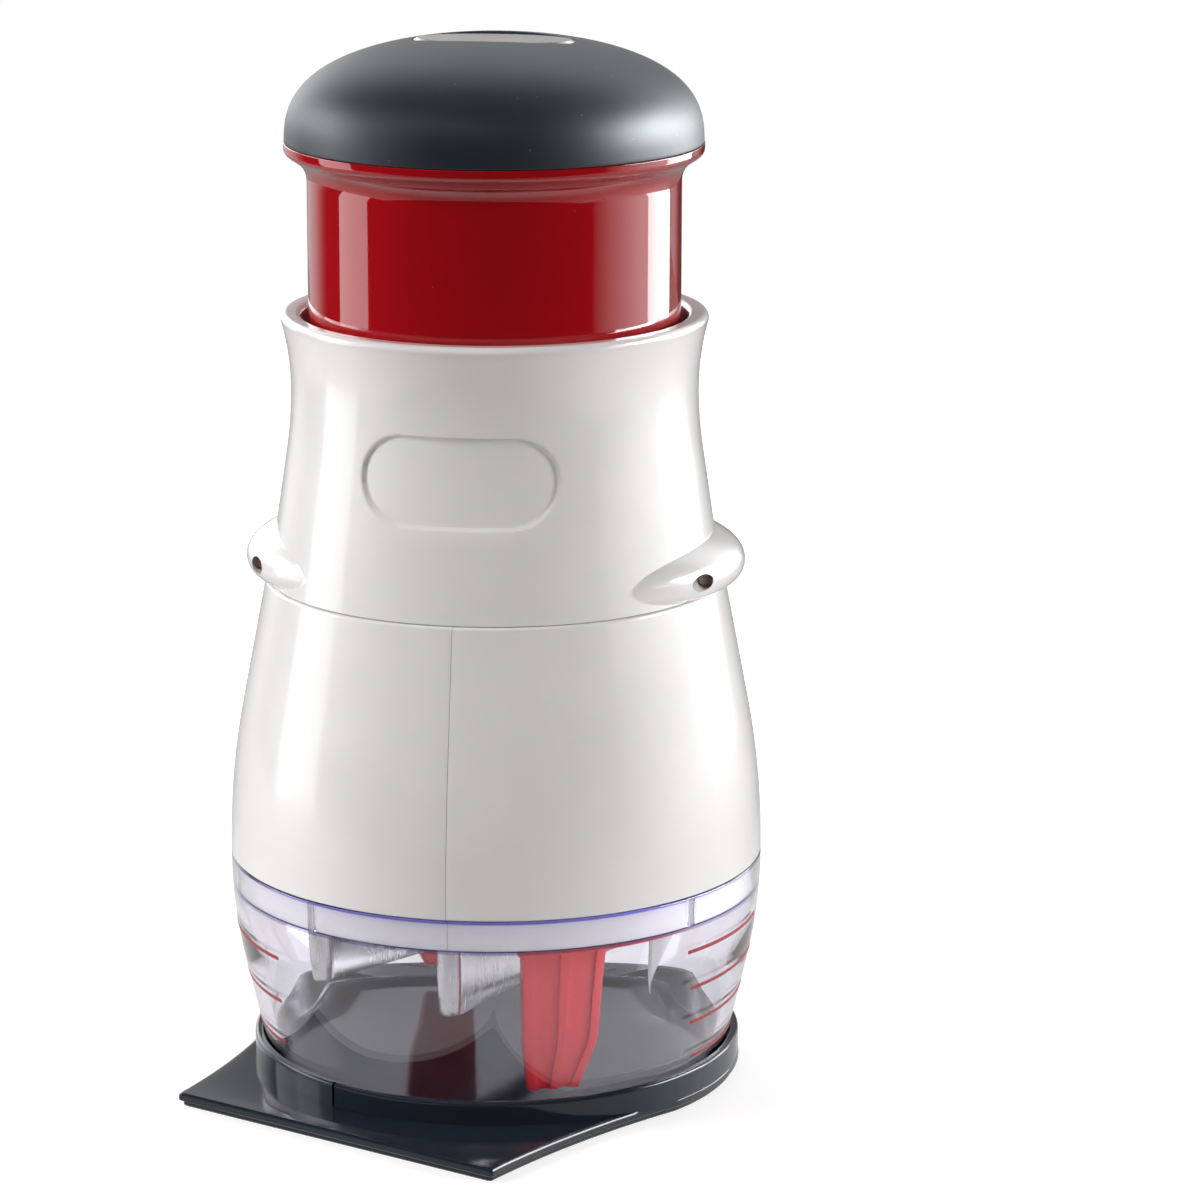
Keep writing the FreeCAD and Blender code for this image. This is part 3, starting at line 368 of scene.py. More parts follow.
class Graph:
    """Adds nodes to one tree and links them by the names or numbers of their sockets."""

    def __init__(self, tree):
        self.tree = tree

    def node(self, kind, inputs=None, output=0, **settings):
        """Output of a new node, which gets its settings before its inputs."""
        node = self.tree.nodes.new(kind)
        for name, value in settings.items():
            setattr(node, name, value)
        for key, value in (inputs or {}).items():
            self.feed(node.inputs[key], value)
        return Value(self, node.outputs[output]) if node.outputs else node

    def feed(self, socket, value):
        """Links a value to a socket, or sets a plain number on it."""
        if isinstance(value, Value):
            self.tree.links.new(value.socket, socket)
        else:
            socket.default_value = value

    def mix(self, factor, first, second):
        """Mix of two colours."""
        inputs = {0: factor, 6: first, 7: second}
        return self.node("ShaderNodeMix", inputs, output=2, data_type="RGBA")

    def place(self):
        """Place on the piece, in metres."""
        return self.node("ShaderNodeTexCoord", output="Object")

    def noise(self, place, scale, detail=2.0, stretch=(1, 1, 1)):
        """Noise with a scale per metre; a small stretch draws it out along that axis."""
        where = self.node("ShaderNodeMapping", {"Vector": place, "Scale": stretch})
        inputs = {"Vector": where, "Scale": scale, "Detail": detail}
        return self.node("ShaderNodeTexNoise", inputs, output=0)

    def specks(self, place, scale, size):
        """Small round dots, one in nearly half of the cells."""
        inputs = {"Vector": place, "Scale": scale}
        near = self.node("ShaderNodeTexVoronoi", inputs, output="Distance")
        cell = self.node("ShaderNodeTexVoronoi", inputs, output="Color")
        lot = self.node("ShaderNodeSeparateColor", {"Color": cell}, output="Red")
        return near.step(size, size * 0.4) * lot.step(0.55, 0.6)

    def bump(self, height, strength, distance):
        """Normal of a relief; the distance is in metres."""
        inputs = {"Height": height, "Strength": strength, "Distance": distance}
        return self.node("ShaderNodeBump", inputs, output="Normal")


def rgba(colour, factor=1.0):
    """Colour with alpha, made lighter or darker by a factor."""
    return (*[channel * factor for channel in colour], 1.0)


def finish(name):
    """New material with an empty tree."""
    material = bpy.data.materials.new("chopper_" + name)
    material.use_nodes = True
    material.node_tree.nodes.clear()
    return material, Graph(material.node_tree)


def surface(graph, inputs, volume=None):
    """Principled shader to the material's output."""
    shader = graph.node("ShaderNodeBsdfPrincipled", inputs)
    sockets = {"Surface": shader}
    if volume:
        sockets["Volume"] = volume
    graph.node("ShaderNodeOutputMaterial", sockets)


def soft_grip(colour):
    """Soft-touch elastomer: fine stipple, a little dust and handling wear."""
    material, g = finish("soft_grip")
    place = g.place()
    cloud = g.noise(place, 60.0, 3.0)
    stipple = g.noise(place, 2600.0, 1.0)
    dust = g.specks(place, 330.0, 0.075)
    lint = g.specks(place, 140.0, 0.035)
    toned = g.mix(cloud.step(0.3, 0.7), rgba(colour, 0.92), rgba(colour, 1.10))
    dusty = g.mix((dust * 0.35 + lint * 0.5).math("MINIMUM", 1.0), toned, rgba(LINT))
    surface(g, {
        "Base Color": dusty,
        "Roughness": cloud * 0.08 + 0.43,
        "Specular IOR Level": 0.9,
        "Specular Tint": (0.88, 0.96, 1.0, 1.0),
        "Normal": g.bump(stipple, 0.10, 0.00008),
        "Sheen Weight": 0.05,
        "Sheen Roughness": 0.45,
    })
    return material


def glossy_plastic(name, colour, roughness, scatter=0.0, specular=0.5, coat=0.0, skin=0.02):
    """Moulded glossy plastic: faint sink marks, fine scratches and specks of dust."""
    material, g = finish(name)
    place = g.place()
    cloud = g.noise(place, 45.0, 2.0)
    sink = g.noise(place, 70.0, 1.0)
    hairline = g.noise(place, 900.0, 2.0, stretch=(1.0, 1.0, 0.06))
    dust = g.specks(place, 260.0, 0.05)
    toned = g.mix(cloud.step(0.35, 0.65), rgba(colour, 0.985), rgba(colour, 1.01))
    surface(g, {
        "Base Color": g.mix(dust * 0.12, toned, rgba(DUST)),
        "Roughness": cloud * 0.04 + (hairline.step(0.62, 0.72) * 0.05 + roughness),
        "Normal": g.bump(sink, 0.05, 0.0004),
        "Specular IOR Level": specular,
        "Coat Weight": coat,
        "Coat Roughness": skin,
        "Subsurface Weight": scatter,
        "Subsurface Radius": (0.004, 0.002, 0.002),
        "Subsurface Scale": 1.0,
    })
    return material


def clear_plastic(colour, edge, rim, ledge, top):
    """Clear styrene: colourless through a wall, tinted where light runs along it; its top and ledge
    get a painted violet glow.
    """
    material, g = finish("clear_plastic")
    place = g.place()
    rise = g.node("ShaderNodeSeparateXYZ", {0: place}, output="Z")
    # painted glow: the rim colour goes in narrow bands at the cup's top and at its ledge, in place
    # of the violet light along those edges
    painted_glow_top = rise.step(top - 0.0007, top - 0.0004)
    painted_glow_ledge = rise.step(ledge - 0.0005, ledge - 0.0002) * rise.step(ledge + 0.0004, ledge + 0.0001)
    glow = (painted_glow_top + painted_glow_ledge * 0.75).math("MINIMUM", 1.0)
    scuff = g.noise(place, 700.0, 3.0, stretch=(1.0, 1.0, 0.12))
    ripple = g.noise(place, 55.0, 1.0)
    volume = g.node("ShaderNodeVolumeAbsorption", {"Color": rgba(edge), "Density": 30.0})
    surface(g, {
        "Base Color": g.mix(glow, rgba(colour), rgba(rim)),
        "Roughness": scuff.step(0.66, 0.78) * 0.08,
        "Normal": g.bump(ripple, 0.06, 0.0004),
        "IOR": 1.52,
        "Transmission Weight": 1.0,
    }, volume)
    return material


def matte_plastic(name, colour):
    """Plain moulded plastic with an eroded mould texture."""
    material, g = finish(name)
    place = g.place()
    grain = g.noise(place, 1800.0, 2.0)
    cloud = g.noise(place, 80.0, 2.0)
    surface(g, {
        "Base Color": g.mix(cloud.step(0.3, 0.7), rgba(colour, 0.94), rgba(colour, 1.03)),
        "Roughness": cloud * 0.10 + 0.36,
        "Normal": g.bump(grain, 0.12, 0.00006),
    })
    return material


def brushed_metal(name, colour, roughness, stretch):
    """Metal with its brushing or drawing lines running along the squeezed axis."""
    material, g = finish(name)
    place = g.place()
    lines = g.noise(place, 2400.0, 3.0, stretch=stretch)
    broad = g.noise(place, 350.0, 2.0, stretch=stretch)
    stain = g.noise(place, 90.0, 2.0)
    toned = g.mix(broad, rgba(colour, 0.86), rgba(colour, 1.08))
    surface(g, {
        "Base Color": g.mix(stain.step(0.62, 0.8) * 0.25, toned, rgba(colour, 0.8)),
        "Metallic": 1.0,
        "Roughness": lines * 0.16 + (stain * 0.06 + roughness),
        "Normal": g.bump(lines, 0.18, 0.00005),
    })
    return material


def printed_ink(colour):
    """Screen-printed ink with small breaks."""
    material, g = finish("ink")
    place = g.place()
    breaks = g.noise(place, 2200.0, 2.0)
    surface(g, {
        "Base Color": g.mix(breaks.step(0.35, 0.65), rgba(colour, 0.85), rgba(colour, 1.15)),
        "Roughness": breaks * 0.15 + 0.35,
    })
    return material


def make_finishes(colours, ledge):
    """Every finish of the object by its slot."""
    return {
        "soft_grip": soft_grip(colours.grip),
        "white_gloss": glossy_plastic("white_gloss", colours.white, 0.19, scatter=0.08,
                                      specular=0.5, coat=0.9, skin=0.10),
        "red_gloss": glossy_plastic("red_gloss", colours.red, 0.03, specular=0.6, coat=0.6),
        # the sleeve's red made lighter for the stripper: painted light inside the cup
        "rotor_red": glossy_plastic("rotor_red", colours.painted_light_rotor, 0.18, scatter=0.1),
        "dark_gloss": glossy_plastic("dark_gloss", colours.slate, 0.08, specular=0.35),
        "clear_plastic": clear_plastic(colours.clear, colours.edge, colours.rim,
                                       high("clear_cup") - ledge, high("clear_cup")),
        "dark_core": matte_plastic("dark_core", colours.grip),
        "grey_plastic": matte_plastic("grey_plastic", colours.inner),
        "carrier_plastic": matte_plastic("carrier_plastic", colours.white),
        "steel": brushed_metal("steel", colours.steel, 0.20, (1.0, 1.0, 0.08)),
        "spring_steel": brushed_metal("spring_steel", colours.steel, 0.16, (1.0, 1.0, 1.0)),
        "blade_steel": brushed_metal("blade_steel", colours.steel, 0.14, (1.0, 1.0, 0.05)),
        "badge_steel": brushed_metal("badge_steel", colours.badge, 0.20, (0.05, 1.0, 1.0)),
        "pin_steel": brushed_metal("pin_steel", colours.pin, 0.30, (1.0, 1.0, 1.0)),
        "ink": printed_ink(colours.ink),
    }


def material_of(name):
    """Finish that was made under a name."""
    return bpy.data.materials["chopper_" + name]


# ---- Geometry Nodes ----

KINDS = {
    "Geometry": "NodeSocketGeometry",
    "Material": "NodeSocketMaterial",
    "Count": "NodeSocketInt",
}


def new_tree(name, inputs):
    """Geometry tree with named inputs; gives the tree, its graph and its inputs by name."""
    tree = bpy.data.node_groups.new(name, "GeometryNodeTree")
    for label in inputs:
        tree.interface.new_socket(label, in_out="INPUT",
                                  socket_type=KINDS.get(label, "NodeSocketFloat"))
    tree.interface.new_socket("Geometry", in_out="OUTPUT", socket_type="NodeSocketGeometry")
    source = tree.nodes.new("NodeGroupInput")
    graph = Graph(tree)
    return tree, graph, {label: Value(graph, source.outputs[label]) for label in inputs}


def close_tree(graph, geometry, material):
    """Realizes the instances, sets the material and ends the tree."""
    real = graph.node("GeometryNodeRealizeInstances", {"Geometry": geometry})
    painted = graph.node("GeometryNodeSetMaterial", {"Geometry": real, "Material": material})
    output = graph.tree.nodes.new("NodeGroupOutput")
    graph.tree.links.new(painted.socket, output.inputs["Geometry"])


def coil_tree():
    """Coil spring with its end turns closed up."""
    labels = ("Radius", "Wire", "Foot", "Height", "Turns", "Material")
    tree, g, given = new_tree("Coil Spring", labels)
    spiral = g.node("GeometryNodeCurveSpiral", {
        "Resolution": 40, "Rotations": given["Turns"], "Start Radius": given["Radius"],
        "End Radius": given["Radius"], "Height": given["Height"],
    })
    along = g.node("GeometryNodeSplineParameter", output="Factor")
    turn = along * given["Turns"]
    open_turns = given["Turns"] - 2.0
    rising = turn - 1.0
    share = g.node("ShaderNodeClamp", {"Value": rising.math("DIVIDE", open_turns)})
    closed = given["Wire"] * (turn.math("MINIMUM", 1.0)
                              + (turn - open_turns - 1.0).math("MAXIMUM", 0.0))
    free = given["Height"] - given["Wire"] * 3.0
    level = given["Foot"] + (given["Wire"] * 0.5 + (closed + share * free))
    place = g.node("GeometryNodeInputPosition")
    x = g.node("ShaderNodeSeparateXYZ", {0: place}, output="X")
    y = g.node("ShaderNodeSeparateXYZ", {0: place}, output="Y")
    target = g.node("ShaderNodeCombineXYZ", {"X": x, "Y": y, "Z": level})
    bent = g.node("GeometryNodeSetPosition", {"Geometry": spiral, "Position": target})
    upright = g.node("GeometryNodeSetCurveNormal", {"Curve": bent}, mode="Z_UP")
    section = g.node("GeometryNodeCurvePrimitiveCircle",
                     {"Resolution": 12, "Radius": given["Wire"] * 0.5})
    wire = g.node("GeometryNodeCurveToMesh",
                  {"Curve": upright, "Profile Curve": section, "Fill Caps": True})
    close_tree(g, wire, given["Material"])
    return tree


def copies_tree():
    """Copies of a piece round the axis."""
    tree, g, given = new_tree("Round Copies", ("Geometry", "Count", "Material"))
    points = g.node("GeometryNodePoints", {"Count": given["Count"]})
    index = g.node("GeometryNodeInputIndex")
    share = index.math("DIVIDE", given["Count"])
    turn = g.node("ShaderNodeCombineXYZ", {"Z": share * math.tau})
    copies = g.node("GeometryNodeInstanceOnPoints",
                    {"Points": points, "Instance": given["Geometry"], "Rotation": turn})
    close_tree(g, copies, given["Material"])
    return tree


def mark_tree():
    """Thin printed line round part of a conical wall."""
    labels = ("Radius", "Height", "Start", "Sweep", "Width", "Thickness", "Tilt", "Material")
    tree, g, given = new_tree("Printed Line", labels)
    arc = g.node("GeometryNodeCurveArc", {
        "Resolution": 40, "Radius": given["Radius"], "Start Angle": given["Start"],
        "Sweep Angle": given["Sweep"],
    }, mode="RADIUS")
    lift = g.node("ShaderNodeCombineXYZ", {"Z": given["Height"]})
    level = g.node("GeometryNodeSetPosition", {"Geometry": arc, "Offset": lift})
    upright = g.node("GeometryNodeSetCurveNormal", {"Curve": level}, mode="Z_UP")
    leaning = g.node("GeometryNodeSetCurveTilt", {"Curve": upright, "Tilt": given["Tilt"]})
    section = g.node("GeometryNodeCurvePrimitiveQuadrilateral",
                     {"Width": given["Thickness"], "Height": given["Width"]})
    line = g.node("GeometryNodeCurveToMesh",
                  {"Curve": leaning, "Profile Curve": section, "Fill Caps": True})
    close_tree(g, line, given["Material"])
    return tree


def linked(name, data):
    """New object in the scene."""
    item = bpy.data.objects.new(name, data)
    bpy.context.scene.collection.objects.link(item)
    return item


def to_mesh(name, bm):
    """Mesh from a bmesh, which is used up."""
    mesh = bpy.data.meshes.new(name)
    bm.to_mesh(mesh)
    bm.free()
    return mesh


def melted(piece):
    """Mesh of a piece, which is used up, as a tool for another."""
    bm = bmesh.new()
    bm.from_mesh(piece.data)
    bpy.data.objects.remove(piece)
    return bm


def grown(name, tree, values, mesh=None):
    """Object whose mesh is what the tree makes, from a mesh if the tree takes one."""
    piece = linked(name, mesh or bpy.data.meshes.new(name))
    modifier = piece.modifiers.new(tree.name, "NODES")
    modifier.node_group = tree
    for item in tree.interface.items_tree:
        if item.in_out == "INPUT" and item.name in values:
            modifier[item.identifier] = values[item.name]
    return settle(piece)


def settle(piece):
    """Turns the modifiers' result into the piece's own mesh."""
    evaluated = piece.evaluated_get(bpy.context.evaluated_depsgraph_get())
    mesh = bpy.data.meshes.new_from_object(evaluated)
    mesh.name = piece.name
    piece.modifiers.clear()
    piece.data = mesh
    return piece


# ---- Mesh helpers ----

def corner_arc(here, back, ahead, tangent, step):
    """Points of the arc that rounds one corner; back and ahead are unit vectors."""
    widest = math.radians(14)
    if tangent < 1e-7 or abs(back.cross(ahead)) < 1e-6:
        return [here]
    half = back.angle(ahead) / 2
    radius = tangent * math.tan(half)
    centre = here + (back + ahead).normalized() * (radius / math.sin(half))
    turn = math.pi - 2 * half
    sense = math.copysign(1.0, ahead.cross(back))
    start = here + back * tangent - centre
    count = max(3, math.ceil(turn / widest), math.ceil(radius * turn / step))
    arc = []
    for i in range(count + 1):
        angle = sense * turn * i / count
        turned = Vector((
            start.x * math.cos(angle) - start.y * math.sin(angle),
            start.x * math.sin(angle) + start.y * math.cos(angle),
        ))
        arc.append(centre + turned)
    return arc


def between(begin, end, step_at):
    """Points inside a straight span, with a guard point close to each end."""
    nearest, shortest = 0.0003, 0.0002
    span = (end - begin).length
    guard = min(nearest, span / 4)
    if span < shortest:
        return []
    points = []
    place = guard
    while place < span - guard - 1e-9:
        point = begin.lerp(end, place / span)
        points.append(point)
        room = span - guard - place
        place += room / math.ceil(room / step_at(point))
    points.append(begin.lerp(end, 1 - guard / span))
    return points


def soft_outline(points, soft=0.0002, step=0.0025, step_at=None):
    """Closed outline from (r, z) or (r, z, tangent length); bare corners get a small rounding."""
    step_at = step_at or (lambda point: step)
    flat = [Vector(p[:2]) for p in points]
    count = len(flat)
    arcs = []
    for i, here in enumerate(flat):
        back = flat[i - 1] - here
        ahead = flat[(i + 1) % count] - here
        tangent = min(soft, 0.4 * back.length, 0.4 * ahead.length)
        if len(points[i]) > 2:
            tangent = points[i][2]
        elif here.x < 1e-7:
            tangent = 0.0
        arcs.append(corner_arc(here, back.normalized(), ahead.normalized(), tangent,
                               step_at(here)))
    outline = []
    for i, arc in enumerate(arcs):
        outline += arc
        outline += between(arc[-1], arcs[(i + 1) % count][0], step_at)
    return outline


def even_angles(count):
    """Angles round a whole turn."""
    return [math.tau * i / count for i in range(count)]


def quarter(steps, first=0):
    """Angles of a quarter turn in equal steps, without those before the first."""
    return [math.pi / 2 * i / steps for i in range(first, steps + 1)]


def around(radius, angle, z):
    """Point at an angle from the front, positive towards +X."""
    return Vector((radius * math.sin(angle), -radius * math.cos(angle), z))


def skin(rings, closed=True, wraps=False):
    """Mesh through rings of points; one-point rings are poles, and ends may wrap or stay open."""
    bm = bmesh.new()
    rows = [[bm.verts.new(p) for p in ring] for ring in rings]
    pairs = list(zip(rows, rows[1:])) + ([(rows[-1], rows[0])] if wraps else [])
    for a, b in pairs:
        count = max(len(a), len(b))
        for i in range(count if closed else count - 1):
            j = (i + 1) % count
            corners = [a[i % len(a)], a[j % len(a)], b[j % len(b)], b[i % len(b)]]
            loop = list(dict.fromkeys(corners))
            if len(loop) > 2:
                bm.faces.new(loop)
    return bm


def close_ends(bm, count):
    """Faces over the first and the last ring."""
    bm.verts.ensure_lookup_table()
    bm.faces.new(bm.verts[:count])
    bm.faces.new(bm.verts[-count:])


def turned(outline, angles=None, shape=None):
    """Outline turned about the axis; `shape` may move each point in or out."""
    part_turn = angles is not None and angles[-1] - angles[0] < math.pi * 1.01
    angles = angles or even_angles(180)
    rings = []
    for angle in angles:
        ring = []
        for p in outline:
            radius = shape(p.x, p.y, angle) if shape else p.x
            ring.append(around(radius, angle, p.y))
        rings.append(ring)
    bm = skin(rings, wraps=not part_turn)
    if part_turn:
        close_ends(bm, len(outline))
    bmesh.ops.remove_doubles(bm, verts=bm.verts, dist=1e-7)
    bmesh.ops.dissolve_degenerate(bm, edges=bm.edges, dist=1e-8)
    return bm


def box_mesh(x, y, z, turn=0.0):
    """Box from three (low, high) pairs, turned about the axis."""
    bm = bmesh.new()
    size = Matrix.Diagonal((x[1] - x[0], y[1] - y[0], z[1] - z[0], 1))
    middle = Matrix.Translation(((x[0] + x[1]) / 2, (y[0] + y[1]) / 2, (z[0] + z[1]) / 2))
    bmesh.ops.create_cube(bm, size=1.0, matrix=Matrix.Rotation(turn, 4, "Z") @ middle @ size)
    return bm


def bar_y(radius, half, x, z, segments=48):
    """Round bar along Y."""
    bm = bmesh.new()
    place = Matrix.Translation((x, 0, z)) @ Matrix.Rotation(math.pi / 2, 4, "X")
    bmesh.ops.create_cone(bm, cap_ends=True, segments=segments, radius1=radius, radius2=radius,
                          depth=2 * half, matrix=place)
    return bm


def new_piece(name, bm, material, sharp=35.0):
    """Smooth-shaded object with sharp edges past an angle."""
    bmesh.ops.recalc_face_normals(bm, faces=bm.faces)
    mesh = to_mesh(name, bm)
    mesh.materials.append(material)
    piece = linked(name, mesh)
    smooth(piece, sharp)
    return piece


def smooth(piece, sharp=35.0):
    """Smooth shading, with the edges past an angle kept sharp."""
    piece.data.shade_smooth()
    piece.data.set_sharp_from_angle(angle=math.radians(sharp))


def carved(piece, tools, operation="DIFFERENCE"):
    """Piece combined with other meshes, which are used up."""
    objects = [new_piece("tool", tool, piece.data.materials[0]) for tool in tools]
    for tool in objects:
        modifier = piece.modifiers.new(operation, "BOOLEAN")
        modifier.operation = operation
        modifier.solver = "EXACT"
        modifier.object = tool
    settle(piece)
    for tool in objects:
        bpy.data.objects.remove(tool)
    smooth(piece)
    return piece


def bevelled(piece, width, angle=40.0, segments=2):
    """Piece with its edges rounded where they turn by more than the angle."""
    modifier = piece.modifiers.new("edges", "BEVEL")
    modifier.width = width
    modifier.segments = segments
    modifier.limit_method = "ANGLE"
    modifier.angle_limit = math.radians(angle)
    modifier.use_clamp_overlap = True
    modifier.harden_normals = False
    settle(piece)
    smooth(piece)
    return piece


def opposite(mesh, name):
    """Copy of a mesh on the other side of the axis, as a new piece."""
    other = mesh.copy()
    other.transform(Matrix.Rotation(math.pi, 4, "Z"))
    return linked(name, other)


def placed(piece, body, slot, *nodes):
    """Gives a finished piece its body and hides the nodes that it stands for; the slot is not used.
    """
    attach(piece, body)
    if nodes:
        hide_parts(*nodes)


def softened(node, body, slot, material, width):
    """Copy of a node with its facets merged and its edges rounded, in place of the node."""
    bm = bmesh.new()
    bm.from_mesh(NODES[node].data)
    bmesh.ops.remove_doubles(bm, verts=bm.verts, dist=1e-6)
    bmesh.ops.dissolve_limit(bm, angle_limit=math.radians(0.5), verts=bm.verts, edges=bm.edges)
    mesh = to_mesh(node, bm)
    mesh.materials.clear()
    mesh.materials.append(material_of(material or slot))
    piece = linked(node + "_finished", mesh)
    bevelled(piece, width)
    placed(piece, body, slot, node)


def pin_place():
    """X and Z of the right hinge pin's axis."""
    level = (low("right_hinge_pin") + high("right_hinge_pin")) / 2
    return corners_of("right_hinge_pin")[0].x + PIN_RADIUS, level


# ---- Pieces ----

class CHOPPER_OT_finishes(bpy.types.Operator):
    """Make every finish of the object"""

    bl_idname = "chopper.finishes"
    bl_label = "Finishes"

    def execute(self, context):
        make_finishes(context.scene.chopper_finish, context.scene.chopper_cup.band_height)
        return {"FINISHED"}


def oval_ring(half_length, half_width, z, count):
    """Points round an oval, from the front."""
    return [Vector((half_length * math.sin(angle), -half_width * math.cos(angle), z))
            for angle in even_angles(count)]


def circle_ring(radius, z, count):
    """Points round a circle, from the front."""
    return [around(radius, angle, z) for angle in even_angles(count)]


class CHOPPER_OT_grip(bpy.types.Operator):
    """Soft dome of the knob with the pocket for its inlay"""

    bl_idname = "chopper.grip"
    bl_label = "Knob grip"

    segments = 192          # points round a ring
    oval_start = 0.024      # radius inside which the round rings turn into ovals
    guard = 0.0002          # narrow band beside a sharp corner

    def execute(self, context):
        knob = context.scene.chopper_knob
        foot = low("knob_grip") + knob.lift
        oval = (reach("knob_badge") + knob.badge_gap,
                corners_of("knob_badge")[1].y + knob.badge_gap)
        rings = self.inside(knob, foot) + self.outside(knob, foot) + self.pocket(knob, oval)
        piece = new_piece("knob_soft_grip", skin(rings), material_of("soft_grip"), 50.0)
        placed(piece, "plunger", "soft_grip", "knob_grip")
        return {"FINISHED"}

    @staticmethod
    def level(knob, radius, inset=0.0):
        """Height of the dome at a radius; an inset gives its inner side."""
        share = min(1.0, max(0.0, radius / (knob.radius - inset)))
        rise = (knob.crown - inset) * (1 - share ** knob.side_power) ** (1 / knob.crown_power)
        return low("knob_grip") + knob.skirt + rise

    def inside(self, knob, foot):
        """Rings from the inner pole down to the grip's edge."""
        inner = knob.radius - knob.wall
        rings = [[Vector((0, 0, self.level(knob, 0, knob.wall)))]]
        for lean in quarter(24, 1):
            radius = inner * math.sin(lean)
            rings.append(circle_ring(radius, self.level(knob, radius, knob.wall), self.segments))
        rings.append(circle_ring(inner, foot + self.guard, self.segments))
        rings.append(circle_ring(inner + self.guard, foot, self.segments))
        return rings

    def outside(self, knob, foot):
        """Rings round the lower edge and up the dome to where the ovals start."""
        edge = knob.edge_round
        rings = []
        for lean in quarter(4):
            radius = knob.radius - edge + edge * math.sin(lean)
            rings.append(circle_ring(radius, foot + edge - edge * math.cos(lean), self.segments))
        for lean in quarter(60, 1):
            radius = knob.radius * math.cos(lean) ** 0.9
            if radius < self.oval_start:
                break
            level = self.level(knob, radius)
            if level > foot + edge:
                rings.append(circle_ring(radius, level, self.segments))
        return rings

    def pocket(self, knob, oval):
        """Rings from the dome over the pocket's rounded edge to the middle of its floor."""
        floor = low("knob_badge")
        steps = 16
        rings = [self.blend_ring(knob, oval, i / steps) for i in range(steps + 1)]
        last = rings[-1]
        for lean in quarter(4, 1):
            inset = knob.pocket_round * math.sin(lean)
            drop = knob.pocket_round * (1 - math.cos(lean))
            rings.append([self.moved_in(point, inset, drop, oval) for point in last])
        rings.append(oval_ring(*oval, floor + self.guard / 2, self.segments))
        inner = [half - self.guard for half in oval]
        rings.append(oval_ring(*inner, floor, self.segments))
        rings.append([Vector((0, 0, floor))])
        return rings

    def blend_ring(self, knob, oval, share):
        """Ring between the round dome and the oval pocket's edge, on the dome's surface."""
        outer = circle_ring(self.oval_start, 0.0, self.segments)
        inner = oval_ring(*[half + knob.pocket_round for half in oval], 0.0, self.segments)
        ring = []
        for start, end in zip(outer, inner):
            point = start.lerp(end, share)
            ring.append(Vector((point.x, point.y, self.level(knob, point.xy.length))))
        return ring

    @staticmethod
    def moved_in(point, inset, drop, oval):
        """Point of the pocket's rounded edge, moved towards the oval's middle and down."""
        along = Vector((point.x / oval[0] ** 2, point.y / oval[1] ** 2, 0)).normalized()
        return point - along * inset - UP * drop


class CHOPPER_OT_badge(bpy.types.Operator):
    """Oval metal inlay with a bright bevel"""

    bl_idname = "chopper.badge"
    bl_label = "Knob inlay"

    segments = 160          # points round a ring
    slope = 0.7             # height of the bevel as a share of its width
    guard = 0.0003          # narrow band that keeps the top flat beside the bevel

    def execute(self, context):
        bevel = context.scene.chopper_knob.badge_bevel
        half_length = reach("knob_badge")
        half_width = corners_of("knob_badge")[1].y
        floor, top = low("knob_badge"), high("knob_badge")
        levels = ((0.0, floor), (0.0, top - bevel * self.slope), (bevel, top),
                  (bevel + self.guard, top))
        rings = [oval_ring(half_length - inset, half_width - inset, z, self.segments)
                 for inset, z in levels]
        rings = [[Vector((0, 0, floor))], *rings, [Vector((0, 0, top))]]
        piece = new_piece("knob_inlay", skin(rings), material_of("badge_steel"), 20.0)
        placed(piece, "plunger", "badge_steel", "knob_badge")
        return {"FINISHED"}


class CHOPPER_OT_plunger(bpy.types.Operator):
    """Glossy sleeve with its flare, deck and stop bead"""

    bl_idname = "chopper.plunger"
    bl_label = "Plunger sleeve"

    core_gap = 0.0001       # room round the knob's core
    grip_gap = 0.00005      # room under the grip's edge

    def execute(self, context):
        tube = context.scene.chopper_plunger
        knob = context.scene.chopper_knob
        bore = context.scene.chopper_housing.bore
        foot, top = low("plunger_tube"), high("plunger_tube")
        seat = reach("knob_core") + self.core_gap
        rim_top = top + knob.lift - self.grip_gap
        rim_low = rim_top - tube.rim_height
        inner = tube.radius - tube.wall
        bead = bore - CLEARANCE
        outline = soft_outline([
            (inner, foot),
            (bead, foot, 0.0006),
            (bead, foot + tube.bead),
            (tube.radius, foot + tube.bead),
            (tube.radius, rim_low - tube.slope, tube.flare),
            (tube.rim, rim_low, tube.rim_round),
            (tube.rim, rim_top, 0.00015),
            (seat, rim_top),
            (seat, top),
            (tube.boss, top),
            (tube.boss, top - tube.deck),
            (inner, top - tube.deck, 0.0015),
        ])
        piece = new_piece("plunger_sleeve", turned(outline), material_of("red_gloss"))
        placed(piece, "plunger", "red_gloss", "plunger_tube")
        return {"FINISHED"}


